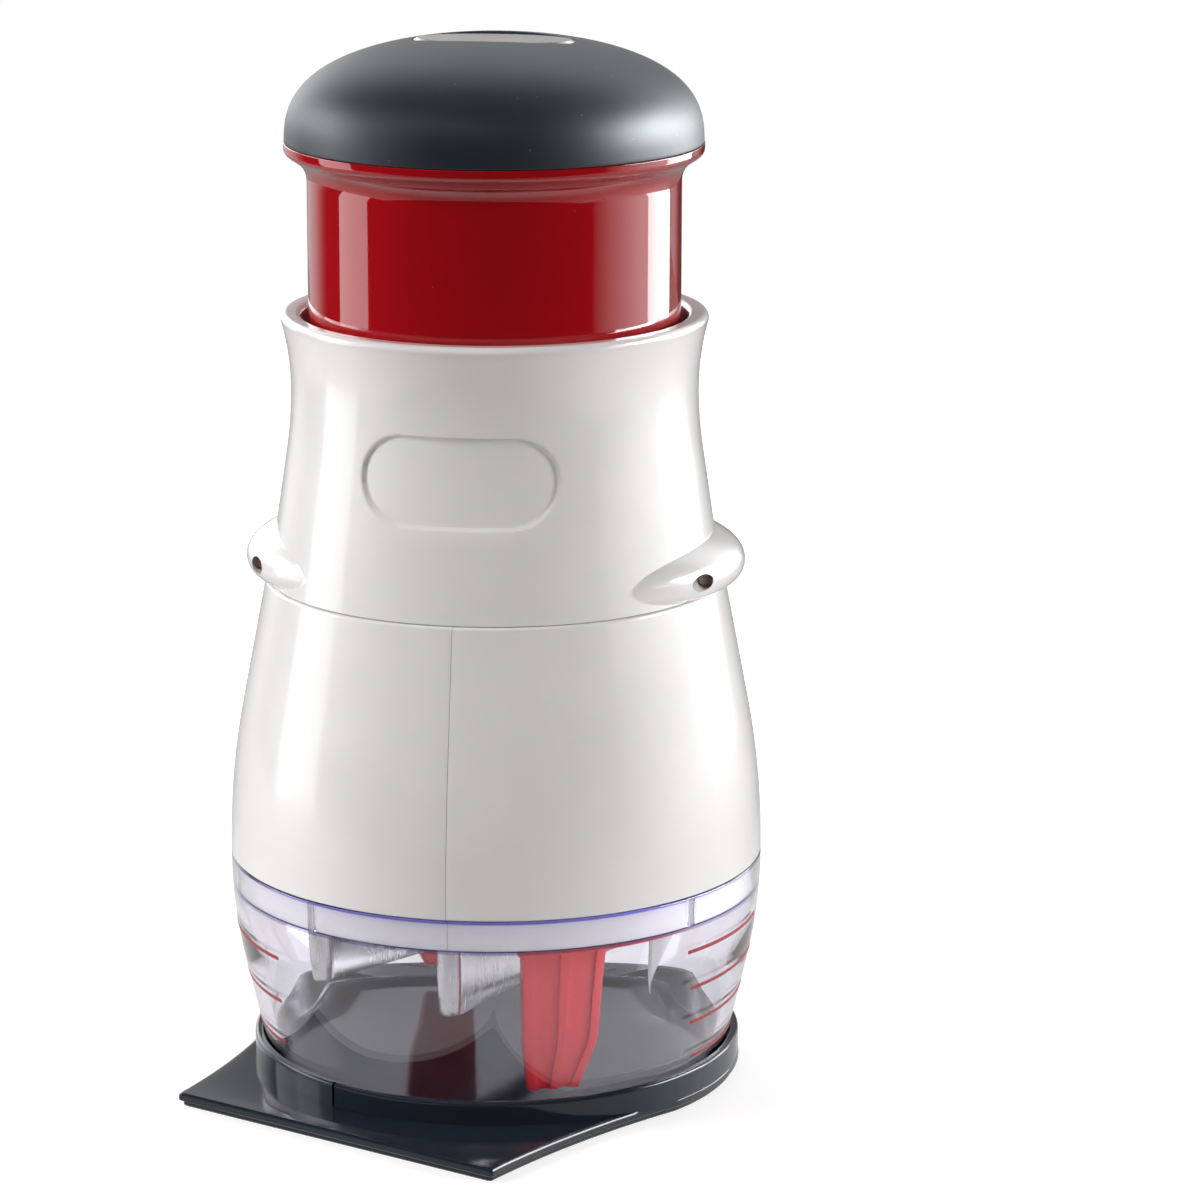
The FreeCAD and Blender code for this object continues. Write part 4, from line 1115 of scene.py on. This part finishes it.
class CHOPPER_OT_collar(bpy.types.Operator):
    """White collar: waist, sunk oval, deck, guard and the two ears"""

    bl_idname = "chopper.collar"
    bl_label = "Collar"

    # steps of the mesh along the outline
    coarse, fine, finest = 0.003, 0.0009, 0.00045
    inner_margin = 0.0012   # skin of the bore, which takes coarse steps
    skirt_margin = 0.01     # the same inside the skirt
    oval_margin = 0.0015    # how far the finest steps go on past the oval
    # the stop ring's groove, and the height over the deck at which the bore narrows
    groove_depth, groove_height = 0.0008, 0.00245
    narrowing = 0.007
    guard_wall, guard_height = 0.002, 0.006
    spigot_gap, spigot_wall = 0.00055, 0.002
    # columns of the mesh in half the front, which has the oval, and in the rest
    front = math.radians(31)
    front_columns, back_columns = 62, 149
    # slots of the pawls through the guard: x, y, top over the deck
    slot_x, slot_y, slot_top = (-0.0026, 0.0026), (-0.024, -0.018), 0.008
    slot_count = 3

    def execute(self, context):
        housing = context.scene.chopper_housing
        foot = low("collar") + housing.spigot
        deck_top = foot + housing.deck_rise + housing.deck
        skirt = housing.collar_foot - housing.skirt_wall
        middle = foot + housing.oval_rise
        reach_up = housing.oval_height / 2 + self.oval_margin
        bore = housing.bore + self.inner_margin
        skirt_inside = housing.collar_foot - self.skirt_margin
        ears = foot + 2 * housing.ear_radius + housing.ear_swell

        def step_at(point):
            if point.x < bore or point.x < skirt_inside:
                return self.coarse
            if abs(point.y - middle) < reach_up:
                return self.finest
            return self.fine if foot < point.y < ears else self.coarse

        def sunk(radius, z, angle):
            """Radius of the wall with the sunk oval on its front."""
            if radius < bore or abs(z - middle) > reach_up or math.cos(angle) < 0:
                return radius
            half = (housing.oval_length - housing.oval_height) / 2
            past_middle = max(abs(radius * math.sin(angle)) - half, 0.0)
            outside = math.hypot(past_middle, z - middle) - housing.oval_height / 2
            share = min(1.0, max(0.0, 0.5 - outside / housing.oval_edge))
            return radius - housing.oval_depth * share * share * (3 - 2 * share)

        outline = soft_outline(self.corners(housing, foot, deck_top, skirt), step_at=step_at)
        columns, rest = self.front_columns, self.back_columns
        angles = [self.front * (i / columns - 1) for i in range(2 * columns + 1)]
        angles += [self.front + (math.tau - 2 * self.front) * i / rest for i in range(1, rest)]
        piece = new_piece("collar_shell", turned(outline, angles, sunk),
                          material_of("white_gloss"))
        height = (deck_top + NUDGE, deck_top + self.slot_top)
        carved(piece, [box_mesh(self.slot_x, self.slot_y, height, angle)
                       for angle in even_angles(self.slot_count)])
        self.add_ears(piece, housing, foot, skirt)
        placed(piece, "housing", "white_gloss", "collar")
        return {"FINISHED"}

    def corners(self, housing, foot, deck_top, skirt):
        """Outline of the collar, up its outside and down its inside."""
        top = high("collar")
        waist = foot + housing.waist_height
        rise = top - foot - housing.waist_height - housing.rim_round
        spread = housing.rim - housing.waist
        sweep = (rise * rise + spread * spread) / (2 * rise)
        groove_foot = low("stop_ring")
        groove_top = groove_foot + self.groove_height
        groove = housing.bore + self.groove_depth
        deck = foot + housing.deck_rise
        guard_top = deck_top + self.guard_height
        guard = housing.guard + self.guard_wall
        spigot = housing.shell_top - housing.shell_wall - self.spigot_gap
        return [
            (housing.collar_foot, foot),
            (housing.waist, waist - housing.waist_bow, housing.waist_bow),
            (housing.waist, waist + sweep, sweep),
            (housing.rim, top - housing.rim_round, LIP_ROUND),
            (housing.rim, top, housing.rim_round * 0.8),
            (housing.bore, top, housing.rim_round * 0.9),
            (housing.bore, groove_top),
            (groove, groove_top),
            (groove, groove_foot),
            (housing.bore, groove_foot),
            (housing.bore, deck_top + self.narrowing),
            (skirt, deck_top, 0.001),
            (guard, deck_top),
            (guard, guard_top),
            (housing.guard, guard_top),
            (housing.guard, deck_top),
            (housing.deck_hole, deck_top),
            (housing.deck_hole, deck),
            (skirt, deck),
            (spigot - self.spigot_wall, foot),
            (spigot - self.spigot_wall, foot - housing.spigot),
            (spigot, foot - housing.spigot),
            (spigot, foot),
        ]

    @staticmethod
    def add_ears(piece, housing, foot, skirt):
        """Joins the two ears, then cuts the knuckles' pockets and the pin holes."""
        level = foot + housing.ear_lift + housing.ear_radius
        pin_x, pin_z = pin_place()
        half = housing.knuckle_half + CLEARANCE
        pocket = housing.knuckle + CLEARANCE
        hole, hole_half = 0.0017, 0.032
        core, core_foot, core_top = skirt + 0.0004, foot - 0.01, foot + 0.02
        for turn in (0.0, math.pi):
            spin = Matrix.Rotation(turn, 4, "Z")
            ear = new_piece("ear", ear_bow(housing, level), material_of("white_gloss"))
            carved(ear, [turned(soft_outline([(0, core_foot), (core, core_foot),
                                              (core, core_top), (0, core_top)]))])
            ear.data.transform(spin)
            carved(piece, [melted(ear)], "UNION")
            cuts = [
                bar_y(pocket, half, pin_x, pin_z),
                box_mesh((skirt - OVERCUT, pin_x + pocket), (-half, half), (foot - NUDGE, pin_z)),
                bar_y(hole, hole_half, pin_x, pin_z),
            ]
            for cut in cuts:
                cut.transform(spin)
            carved(piece, cuts)


def ear_bow(housing, level):
    """Ear as an arc of a torus, its closed ends inside the collar."""
    steps, half_turn, segments = 72, 65, 40
    rings = []
    centre = housing.ear_tip - housing.ear_plan - housing.ear_radius
    for i in range(steps + 1):
        angle = math.radians(-half_turn + 2 * half_turn * i / steps)
        ring = []
        for turn in even_angles(segments):
            radius = housing.ear_plan + housing.ear_radius * math.cos(turn)
            inner = ((1 - math.cos(turn)) / 2) ** 2
            swell = housing.ear_swell * inner * min(1.0, 1 + math.sin(turn))
            ring.append(Vector((centre + radius * math.cos(angle), radius * math.sin(angle),
                                level + housing.ear_radius * math.sin(turn) + swell)))
        rings.append(ring)
    bm = skin(rings)
    close_ends(bm, segments)
    return bm


class CHOPPER_OT_shells(bpy.types.Operator):
    """The two half shells with their lip, rails, ribs and knuckles"""

    bl_idname = "chopper.shells"
    bl_label = "Half shells"

    # two rails hold the stripper: inner radius, height, lower rail under the stripper's top
    rail, rail_height, rail_drop = 0.0486, 0.0016, 0.0034
    # over the stripper, the inside widens from the lip to the belly between two heights
    widen_foot, widen_top = 0.0026, 0.0036
    columns = 90
    # radii between which a notch for an index rib is cut
    notch_y = (-0.0555, -0.0523)
    arm_in, arm_out, arm_rise = 0.0012, 0.0007, 0.0024
    pin_bore = 0.00155
    # three ribs inside each shell: depth, half thickness, inward lean, ends from rails and top
    rib_count, rib_depth, rib_half, rib_lean = 3, 0.0022, 0.0008, 0.316
    rib_foot, rib_top = 0.0046, 0.007
    rib_sink = 0.0004       # how far a rib goes into the wall
    rib_toe = 0.0015        # by how much a rib's foot is slimmer

    def execute(self, context):
        housing = context.scene.chopper_housing
        cup = context.scene.chopper_cup
        ledge = low("right_half_shell")
        foot = high("clear_cup") + housing.seam
        top = low("collar") + housing.spigot - housing.seam
        lip_outer = housing.shell_rim - cup.band_wall - CLEARANCE
        lip_inner = lip_outer - housing.lip_wall
        wall = housing.shell_wall
        slope_foot = Vector((housing.shell_rim, foot + housing.shell_bow))
        slope_top = Vector((housing.shell_top, top))
        belly = slope_foot.lerp(slope_top, housing.shell_bow / (top - foot - housing.shell_bow))
        lower = high("stripper") - self.rail_drop
        upper = high("stripper") + CLEARANCE
        outline = soft_outline([
            (lip_inner, ledge),
            (lip_outer, ledge),
            (lip_outer, foot),
            (housing.shell_rim, foot, LIP_ROUND),
            (housing.shell_rim, foot + housing.shell_bow, housing.shell_bow - BOW_END),
            (housing.shell_top, top, 0.0005),
            (housing.shell_top - wall, top),
            (belly.x - wall, belly.y),
            (housing.shell_rim - wall, upper + self.widen_top),
            (lip_inner, upper + self.widen_foot),
            (lip_inner, upper + self.rail_height),
            (self.rail, upper + self.rail_height),
            (self.rail, upper),
            (lip_inner, upper),
            (lip_inner, lower + self.rail_height),
            (self.rail, lower + self.rail_height),
            (self.rail, lower),
            (lip_inner, lower),
        ], step=0.002)
        gap = housing.seam / 2 / housing.shell_rim
        angles = [gap + (math.pi - 2 * gap) * i / self.columns for i in range(self.columns + 1)]
        piece = new_piece("right_shell", turned(outline, angles), material_of("white_gloss"))
        notch = cup.rib_width / 2 + CLEARANCE
        carved(piece, [box_mesh((-notch, notch), self.notch_y, (ledge - OVERCUT, foot),
                                cup.rib_angle + angle) for angle in even_angles(cup.rib_count)])
        bevelled(piece, housing.seam_round, 60.0, 3)
        self.add_knuckle(piece, housing, top)
        self.add_ribs(piece, belly, belly.x - wall, upper + self.rib_foot, top - self.rib_top)
        left = opposite(piece.data, "left_shell")
        placed(piece, "housing", "white_gloss", "right_half_shell")
        placed(left, "housing", "white_gloss", "left_half_shell")
        return {"FINISHED"}

    def add_knuckle(self, piece, housing, top):
        """Arm and eye of the hinge, with the pin's bore."""
        pin_x, pin_z = pin_place()
        half = housing.knuckle_half
        arm = box_mesh((pin_x - self.arm_in, pin_x + self.arm_out), (-half, half),
                       (top - self.arm_rise, pin_z))
        carved(piece, [arm, bar_y(housing.knuckle, half, pin_x, pin_z)], "UNION")
        carved(piece, [bar_y(self.pin_bore, 2 * half, pin_x, pin_z)])

    def add_ribs(self, piece, belly, inside, foot, top):
        """Stiffening ribs up the inside."""
        depth, sink = self.rib_depth, self.rib_sink
        high_r = inside - (top - belly.y) * self.rib_lean
        points = [(inside - depth + self.rib_toe, foot), (inside + depth, foot),
                  (inside + sink, belly.y), (high_r + sink, top), (high_r - depth, top),
                  (inside - depth, belly.y)]
        count = len(points)
        for i in range(self.rib_count):
            bm = bmesh.new()
            for side in (-self.rib_half, self.rib_half):
                bm.faces.new([bm.verts.new((side, -r, z)) for r, z in points])
            bm.verts.ensure_lookup_table()
            for j in range(count):
                k = (j + 1) % count
                bm.faces.new([bm.verts[n] for n in (j, k, count + k, count + j)])
            turn = math.radians(180 / self.rib_count * (i + 0.5))
            bm.transform(Matrix.Rotation(turn, 4, "Z"))
            carved(piece, [bm], "UNION")


def cup_side(cup):
    """Corners up the outside of the cup."""
    foot, top = low("clear_cup"), high("clear_cup")
    return [
        (cup.foot, foot, LIP_ROUND),
        (cup.rim, top - cup.bow, cup.bow - BOW_END),
        (cup.rim, top, LIP_ROUND),
    ]


class CHOPPER_OT_cup(bpy.types.Operator):
    """Clear cup with its band, ledge and index ribs"""

    bl_idname = "chopper.cup"
    bl_label = "Clear cup"

    def execute(self, context):
        cup = context.scene.chopper_cup
        foot, top = low("clear_cup"), high("clear_cup")
        ledge = top - cup.band_height
        bow = top - cup.bow
        band = cup.rim - cup.band_wall
        inner = cup.rim - cup.wall
        outline = soft_outline(cup_side(cup) + [
            (band, top, LIP_ROUND),
            (band, ledge),
            (inner, ledge, 0.0003),
            (inner, bow, ledge - bow - BOW_END),
            (cup.foot - cup.wall, foot, LIP_ROUND),
        ], step=0.0015)
        clear = material_of("clear_plastic")
        piece = new_piece("clear_food_cup", turned(outline, even_angles(192)), clear)
        half = cup.rib_width / 2
        root = 0.0004           # how far a rib goes into the band
        rib = box_mesh((-half, half), (-band - root, -band + cup.rib_depth),
                       (ledge, top - cup.rib_depth), cup.rib_angle)
        ribs = grown("index_ribs", bpy.data.node_groups["Round Copies"],
                     {"Count": cup.rib_count, "Material": clear}, to_mesh("index_rib", rib))
        carved(piece, [melted(ribs)], "UNION")
        placed(piece, "cup", "clear_plastic", "clear_cup")
        return {"FINISHED"}


class CHOPPER_OT_marks(bpy.types.Operator):
    """Measuring lines printed on the cup"""

    bl_idname = "chopper.marks"
    bl_label = "Measuring lines"

    lines = (
        # height, start and end from the front in degrees
        (0.0352, 55.5, 88.0),
        (0.0268, 58.0, 92.0),
        (0.0185, 60.5, 94.0),
        (0.0101, 64.0, 97.0),
        (0.0319, -44.5, -80.0),
        (0.0218, -47.0, -83.0),
        (0.0116, -50.5, -86.0),
    )
    proud = 0.4             # share of the ink's thickness between the wall and its middle

    def execute(self, context):
        cup = context.scene.chopper_cup
        tree = mark_tree()
        bm = bmesh.new()
        for level, start, end in self.lines:
            radius, lean = self.wall_at(cup, level)
            first, last = sorted((start, end))
            line = grown("mark", tree, {
                "Radius": radius + cup.mark_thick * self.proud,
                "Height": level,
                "Start": math.radians(first - 90),
                "Sweep": math.radians(last - first),
                "Width": cup.mark_width,
                "Thickness": cup.mark_thick,
                "Tilt": lean,
                "Material": material_of("ink"),
            })
            bm.from_mesh(line.data)
            bpy.data.objects.remove(line)
        piece = new_piece("measuring_lines", bm, material_of("ink"))
        placed(piece, "cup", "red_gloss")
        return {"FINISHED"}

    @staticmethod
    def wall_at(cup, level):
        """Radius and lean of the cup's outside at a height."""
        axis = [(0.0, high("clear_cup")), (0.0, low("clear_cup"))]
        outline = soft_outline(cup_side(cup) + axis, step=0.0004)
        side = [p for p in outline if p.x > 0.04]
        for a, b in zip(side, side[1:]):
            if a.y <= level < b.y:
                point = a.lerp(b, (level - a.y) / (b.y - a.y))
                return point.x, math.atan2(b.x - a.x, b.y - a.y)
        raise ValueError("a measuring line lies off the cup")


class CHOPPER_OT_base(bpy.types.Operator):
    """Base plate: stepped edge, scraper spout and the slit ring"""

    bl_idname = "chopper.base"
    bl_label = "Base plate"

    foot_chamfer, step_chamfer, guard = 0.0003, 0.0002, 0.0001
    edge_steps, side_steps, arc_steps = 6, 14, 120
    tip_round = 0.0007      # tangent length of the rounding at the spout's tips

    def execute(self, context):
        base = context.scene.chopper_base
        cup = context.scene.chopper_cup
        thick = low("clear_cup")
        ring_top = high("base_plate") + base.ring_lift
        edge, inset, step = base.edge_round, base.step_inset, base.step
        # inset of the outline, share of it at the front, height
        layers = [
            (inset + self.foot_chamfer, 1.0, 0.0),
            (inset, 1.0, self.foot_chamfer),
            (inset, 1.0, step - self.guard),
            (inset - self.guard, 1.0, step),
            (self.step_chamfer, 1.0, step),
            (0.0, 1.0, step + self.step_chamfer),
        ]
        for lean in quarter(self.edge_steps):
            layers.append((edge - edge * math.cos(lean), base.front_share,
                           thick - edge + edge * math.sin(lean)))
        bm = skin([self.plate_ring(base, *layer) for layer in layers])
        close_ends(bm, len(bm.verts) // len(layers))
        piece = new_piece("scraper_base", bm, material_of("dark_gloss"))
        slope = (cup.rim - cup.foot) / (high("clear_cup") - cup.bow - thick)
        foot_r = cup.foot + base.ring_gap
        top_r = foot_r + slope * (ring_top - thick)
        ring = soft_outline([
            (foot_r, thick - edge),
            (base.ring, thick - edge),
            (base.ring, ring_top, base.ring_round),
            (top_r, ring_top, base.ring_round / 2),
            (foot_r, thick + self.guard),
        ], soft=0.00005)
        carved(piece, [turned(ring)], "UNION")
        half = base.slit_width / 2
        carved(piece, [box_mesh((-half, half), (-base.ring - OVERCUT, -base.ring + base.slit_depth),
                                (thick, ring_top + OVERCUT), base.slit_angle + angle)
                       for angle in even_angles(base.slit_count)])
        placed(piece, "base", "dark_gloss", "base_plate")
        return {"FINISHED"}

    def plate_ring(self, base, inset, front_share, z):
        """Outline of the plate moved inwards, at a height."""
        radius = base.radius - inset
        left, right = Vector(base.spout_left), Vector(base.spout_right)
        along = (right - left).normalized()
        inward = Vector((-along.y, along.x))
        ends = []
        for tip, sense in ((right, 1), (left, -1)):
            tip = tip + inward * inset * front_share - along * inset * sense
            angle = math.atan2(tip.x, -tip.y) + sense * math.acos(radius / tip.length)
            touch = around(radius, angle, 0.0).xy
            across = (touch - tip).normalized()
            sag = Vector((-across.y, across.x)) * sense * base.spout_sag * 4
            shares = [i / self.side_steps for i in range(1, self.side_steps)]
            side = [tip.lerp(touch, share) + sag * share * (1 - share) for share in shares]
            rounded = corner_arc(tip, along * -sense, (side[0] - tip).normalized(),
                                 self.tip_round, 1.0)
            ends.append((angle, rounded + side))
        (first, right_side), (last, left_side) = ends
        sweep = last + math.tau - first
        arc = [around(radius, first + sweep * i / self.arc_steps, 0.0).xy
               for i in range(self.arc_steps + 1)]
        return [Vector((p.x, p.y, z)) for p in right_side + arc + left_side[::-1]]


class CHOPPER_OT_spring(bpy.types.Operator):
    """Return spring at its full height; the real one closes up as the knob goes down."""

    bl_idname = "chopper.spring"
    bl_label = "Return spring"

    def execute(self, context):
        drive = context.scene.chopper_drive
        foot, top = low("return_spring"), high("return_spring")
        piece = grown("coil_spring", coil_tree(), {
            "Radius": drive.coil,
            "Wire": drive.wire,
            "Foot": foot,
            "Height": top - foot,
            "Turns": drive.turns,
            "Material": material_of("spring_steel"),
        })
        smooth(piece, 60.0)
        placed(piece, "housing", "spring_steel", "return_spring")
        stroke = next(j for j in frame["joints"] if j["name"] == "plunger_press")["range_m"][1]
        keep = (top - foot - stroke) / (top - foot)
        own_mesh(piece)
        return {"FINISHED"}


class CHOPPER_OT_screws(bpy.types.Operator):
    """Screws that hold the knob's core to the sleeve"""

    bl_idname = "chopper.screws"
    bl_label = "Knob screws"

    head, head_height, shank = 0.003, 0.002, 0.0015
    tip, tip_height = 0.0004, 0.001
    slot_half, slot_depth = (0.0019, 0.0003), 0.0009

    def execute(self, context):
        knob = context.scene.chopper_knob
        foot, top = low("knob_screws"), high("knob_screws")
        deck = foot + self.head_height
        outline = soft_outline([
            (0, foot), (self.head, foot, 0.0008), (self.head, deck), (self.shank, deck),
            (self.shank, top - self.tip_height), (self.tip, top), (0, top),
        ], soft=0.0001)
        steel = material_of("steel")
        screw = new_piece("screw", turned(outline, even_angles(32)), steel)
        across, thin = self.slot_half
        carved(screw, [box_mesh((-across, across), (-thin, thin),
                                (foot - OVERCUT, foot + self.slot_depth), turn)
                       for turn in (0.0, math.pi / 2)])
        screw.data.transform(Matrix.Translation((0, -knob.screw_circle, 0)))
        mesh = screw.data.copy()
        bpy.data.objects.remove(screw)
        piece = grown("knob_core_screws", bpy.data.node_groups["Round Copies"],
                      {"Count": knob.screw_count, "Material": steel}, mesh)
        placed(piece, "plunger", "steel", "knob_screws")
        return {"FINISHED"}


INNER_PIECES = (
    # node, body, slot, material if it isn't the slot's
    ("stop_ring", "housing", "grey_plastic", None),
    ("drive_nut", "housing", "grey_plastic", None),
    ("pawl_ring", "housing", "grey_plastic", None),
    ("nut_clip", "housing", "steel", None),
    ("spring_seat", "housing", "steel", None),
    ("left_hinge_pin", "housing", "steel", "pin_steel"),
    ("right_hinge_pin", "housing", "steel", "pin_steel"),
    ("knob_core", "plunger", "dark_core", None),
    ("spindle", "plunger", "steel", None),
    ("thrust_washer", "plunger", "grey_plastic", None),
    ("spindle_washer", "plunger", "steel", None),
    ("spindle_screw", "plunger", "steel", None),
    ("blade_carrier", "blade_unit", "carrier_plastic", None),
    ("zigzag_blade", "blade_unit", "blade_steel", None),
    ("blade_rivets", "blade_unit", "steel", None),
    # the stripper's lighter red is painted light
    ("stripper", "wiper", "red_gloss", "rotor_red"),
)


class CHOPPER_OT_inner(bpy.types.Operator):
    """Finish the inner pieces and the moving blade parts"""

    bl_idname = "chopper.inner"
    bl_label = "Inner pieces"

    def execute(self, context):
        width = context.scene.chopper_drive.edge
        for node, body, slot, material in INNER_PIECES:
            softened(node, body, slot, material, width)
        return {"FINISHED"}


# ---- Studio ----

LAMPS = (
    # name, place, width and height in metres, what it lights, point it is turned to, spread
    ("left_strip", (-0.896, -0.082, 0.05), (0.41, 0.70), "gloss", (0.0, 0.0), 180),
    ("right_strip", (0.683, 0.587, 0.05), (0.44, 0.70), "gloss", (0.0, 0.0), 180),
    ("right_fill", (0.925, 0.020, 0.02), (0.80, 0.55), "gloss", (0.05, -0.33), 80),
    ("left_glow", (-1.00, 0.16, 0.50), (0.70, 0.45), "gloss", (0.0, 0.0), 180),
    ("right_glow", (0.98, 0.30, 0.48), (0.70, 0.45), "gloss", (0.0, 0.0), 180),
    ("edge_glow", (-0.30, -0.60, 0.90), (1.20, 0.06), "gloss", (0.0, 0.0), 180),
    ("left_panel", (-0.930, -0.400, 0.53), (0.50, 0.75), "shade", (0.0, 0.0), 180),
    ("right_panel", (1.055, -0.190, 0.35), (0.50, 0.30), "shade", (0.0, 0.0), 180),
    ("overhead", (-0.10, 0.55, 0.95), (0.90, 0.50), "shade", (0.0, 0.0), 180),
)

# Where one level of the room gives way to the next, in the parts of a direction of length one
BACK_Y = (0.40, 0.72)
HORIZON_Z = (-0.10, 0.10)
GLOSS_HORIZON_Z = (-0.12, 0.02)
HIGH_Z = (0.26, 0.56)
ASIDE_X = (0.20, 0.50)
RIGHT_X = (0.1, 0.6)

# The floor: middle and half its size, and where its glow changes, from the object's axis
FLOOR_MIDDLE = (0.05, 0.3, 0)
FLOOR_HALF = (0.55, 0.6, 1.0, 1.0)
SEEN_FADE = (0.08, 0.30)
GLOSS_FADE = (0.10, 0.25)


class CHOPPER_OT_studio(bpy.types.Operator):
    """Pale floor, soft lamps, room and camera"""

    bl_idname = "chopper.studio"
    bl_label = "Studio"

    def execute(self, context):
        studio = context.scene.chopper_studio
        self.make_floor(studio)
        self.make_room(context, studio)
        for name, place, size, lights, aim, spread in LAMPS:
            lamp = self.lamp(name, place, size, getattr(studio, name), aim)
            lamp.data.spread = math.radians(spread)
            lamp.visible_glossy = lights == "gloss"
            lamp.visible_diffuse = lights == "shade"
        self.make_camera(context, studio)
        context.scene.view_settings.view_transform = "Standard"
        return {"FINISHED"}

    @staticmethod
    def make_floor(studio):
        """Pale floor; near the object it glows less, so that it keeps the shadow."""
        material, g = finish("floor")
        place = g.place()
        cloud = g.noise(place, 6.0, 3.0)
        seen = g.node("ShaderNodeLightPath", output="Is Camera Ray")
        gloss = g.node("ShaderNodeLightPath", output="Is Glossy Ray")
        away = g.node("ShaderNodeVectorMath", {0: place}, operation="LENGTH", output="Value")
        surface(g, {
            "Base Color": g.mix(cloud, rgba(studio.floor_dark), rgba(studio.floor_light)),
            "Roughness": 0.6,
            "Emission Color": (1, 1, 1, 1),
            "Emission Strength": seen * away.step(*SEEN_FADE, studio.floor_seen, 1.0)
            + gloss * away.step(*GLOSS_FADE, studio.floor_gloss, 0.0),
        })
        bm = bmesh.new()
        table = Matrix.Translation(FLOOR_MIDDLE) @ Matrix.Diagonal(FLOOR_HALF)
        bmesh.ops.create_grid(bm, x_segments=4, y_segments=4, size=1.0, matrix=table)
        mesh = to_mesh("floor", bm)
        mesh.materials.append(material)
        linked("floor", mesh)

    @staticmethod
    def make_room(context, studio):
        """White to the eye; to lamps and gloss it is bright behind and darker in front."""
        world = bpy.data.worlds.new("room")
        world.use_nodes = True
        world.node_tree.nodes.clear()
        g = Graph(world.node_tree)
        direction = g.node("ShaderNodeTexCoord", output="Generated")
        sideways = g.node("ShaderNodeSeparateXYZ", {0: direction}, output="X")
        depth = g.node("ShaderNodeSeparateXYZ", {0: direction}, output="Y")
        rise = g.node("ShaderNodeSeparateXYZ", {0: direction}, output="Z")
        rays = "ShaderNodeLightPath"
        seen = g.node(rays, output="Is Camera Ray") + g.node(rays, output="Is Transmission Ray")
        seen = seen.math("MINIMUM", 1.0)
        shade = rise.step(*HORIZON_Z, studio.under_world, studio.back_world)
        gloss = studio.gloss_world
        aside = sideways.math("ABSOLUTE", 0.0)
        level = aside.step(*ASIDE_X, gloss * studio.middle_gloss, gloss * studio.side_gloss)
        level = level * rise.step(*GLOSS_HORIZON_Z, studio.under_gloss, 1.0)
        upper = sideways.step(*RIGHT_X, gloss, gloss * studio.right_gloss)
        sheen = rise.step(*HIGH_Z, level, upper)
        back = g.node(rays, output="Is Glossy Ray").step(0.0, 1.0, shade, sheen)
        unseen = depth.step(*BACK_Y, studio.front_world, back)
        strength = seen + (1.0 - seen) * unseen
        shader = g.node("ShaderNodeBackground", {"Color": (1, 1, 1, 1), "Strength": strength})
        g.node("ShaderNodeOutputWorld", {"Surface": shader})
        context.scene.world = world

    @staticmethod
    def lamp(name, place, size, power, aim):
        """Softbox turned to a point halfway up the object."""
        light = bpy.data.lights.new(name, "AREA")
        light.shape = "RECTANGLE"
        light.size, light.size_y = size
        light.energy = power
        lamp = linked(name, light)
        lamp.location = place
        middle = Vector((*aim, CAD_BOX[1].z / 2))
        lamp.rotation_euler = (middle - lamp.location).to_track_quat("-Z", "Y").to_euler()
        return lamp

    @staticmethod
    def make_camera(context, studio):
        data = bpy.data.cameras.new("camera")
        data.lens = studio.lens
        data.sensor_width = studio.sensor
        camera = linked("camera", data)
        camera.location = studio.camera_place
        camera.rotation_euler = studio.camera_turn
        context.scene.camera = camera


# ---- Add-on ----

STEPS = (
    CHOPPER_OT_finishes,
    CHOPPER_OT_grip,
    CHOPPER_OT_badge,
    CHOPPER_OT_plunger,
    CHOPPER_OT_collar,
    CHOPPER_OT_shells,
    CHOPPER_OT_cup,
    CHOPPER_OT_marks,
    CHOPPER_OT_base,
    CHOPPER_OT_spring,
    CHOPPER_OT_screws,
    CHOPPER_OT_inner,
    CHOPPER_OT_studio,
)

SETTINGS = {
    "chopper_knob": KnobSettings,
    "chopper_plunger": PlungerSettings,
    "chopper_housing": HousingSettings,
    "chopper_cup": CupSettings,
    "chopper_base": BaseSettings,
    "chopper_drive": DriveSettings,
    "chopper_finish": FinishSettings,
    "chopper_studio": StudioSettings,
}


class CHOPPER_PT_panel(bpy.types.Panel):
    """Steps that build the object, in their order"""

    bl_idname = "CHOPPER_PT_panel"
    bl_label = "Plunger food chopper"
    bl_space_type = "VIEW_3D"
    bl_region_type = "UI"
    bl_category = "Chopper"

    def draw(self, context):
        for step in STEPS:
            self.layout.operator(step.bl_idname)


def register():
    for name, group in SETTINGS.items():
        bpy.utils.register_class(group)
        setattr(bpy.types.Scene, name, bpy.props.PointerProperty(type=group))
    for step in STEPS:
        bpy.utils.register_class(step)
    bpy.utils.register_class(CHOPPER_PT_panel)


def unregister():
    bpy.utils.unregister_class(CHOPPER_PT_panel)
    for step in reversed(STEPS):
        bpy.utils.unregister_class(step)
    for name, group in reversed(SETTINGS.items()):
        delattr(bpy.types.Scene, name)
        bpy.utils.unregister_class(group)


def main():
    register()
    copies_tree()
    for step in STEPS:
        group, name = step.bl_idname.split(".")
        getattr(getattr(bpy.ops, group), name)()


if __name__ == "__main__":
    main()
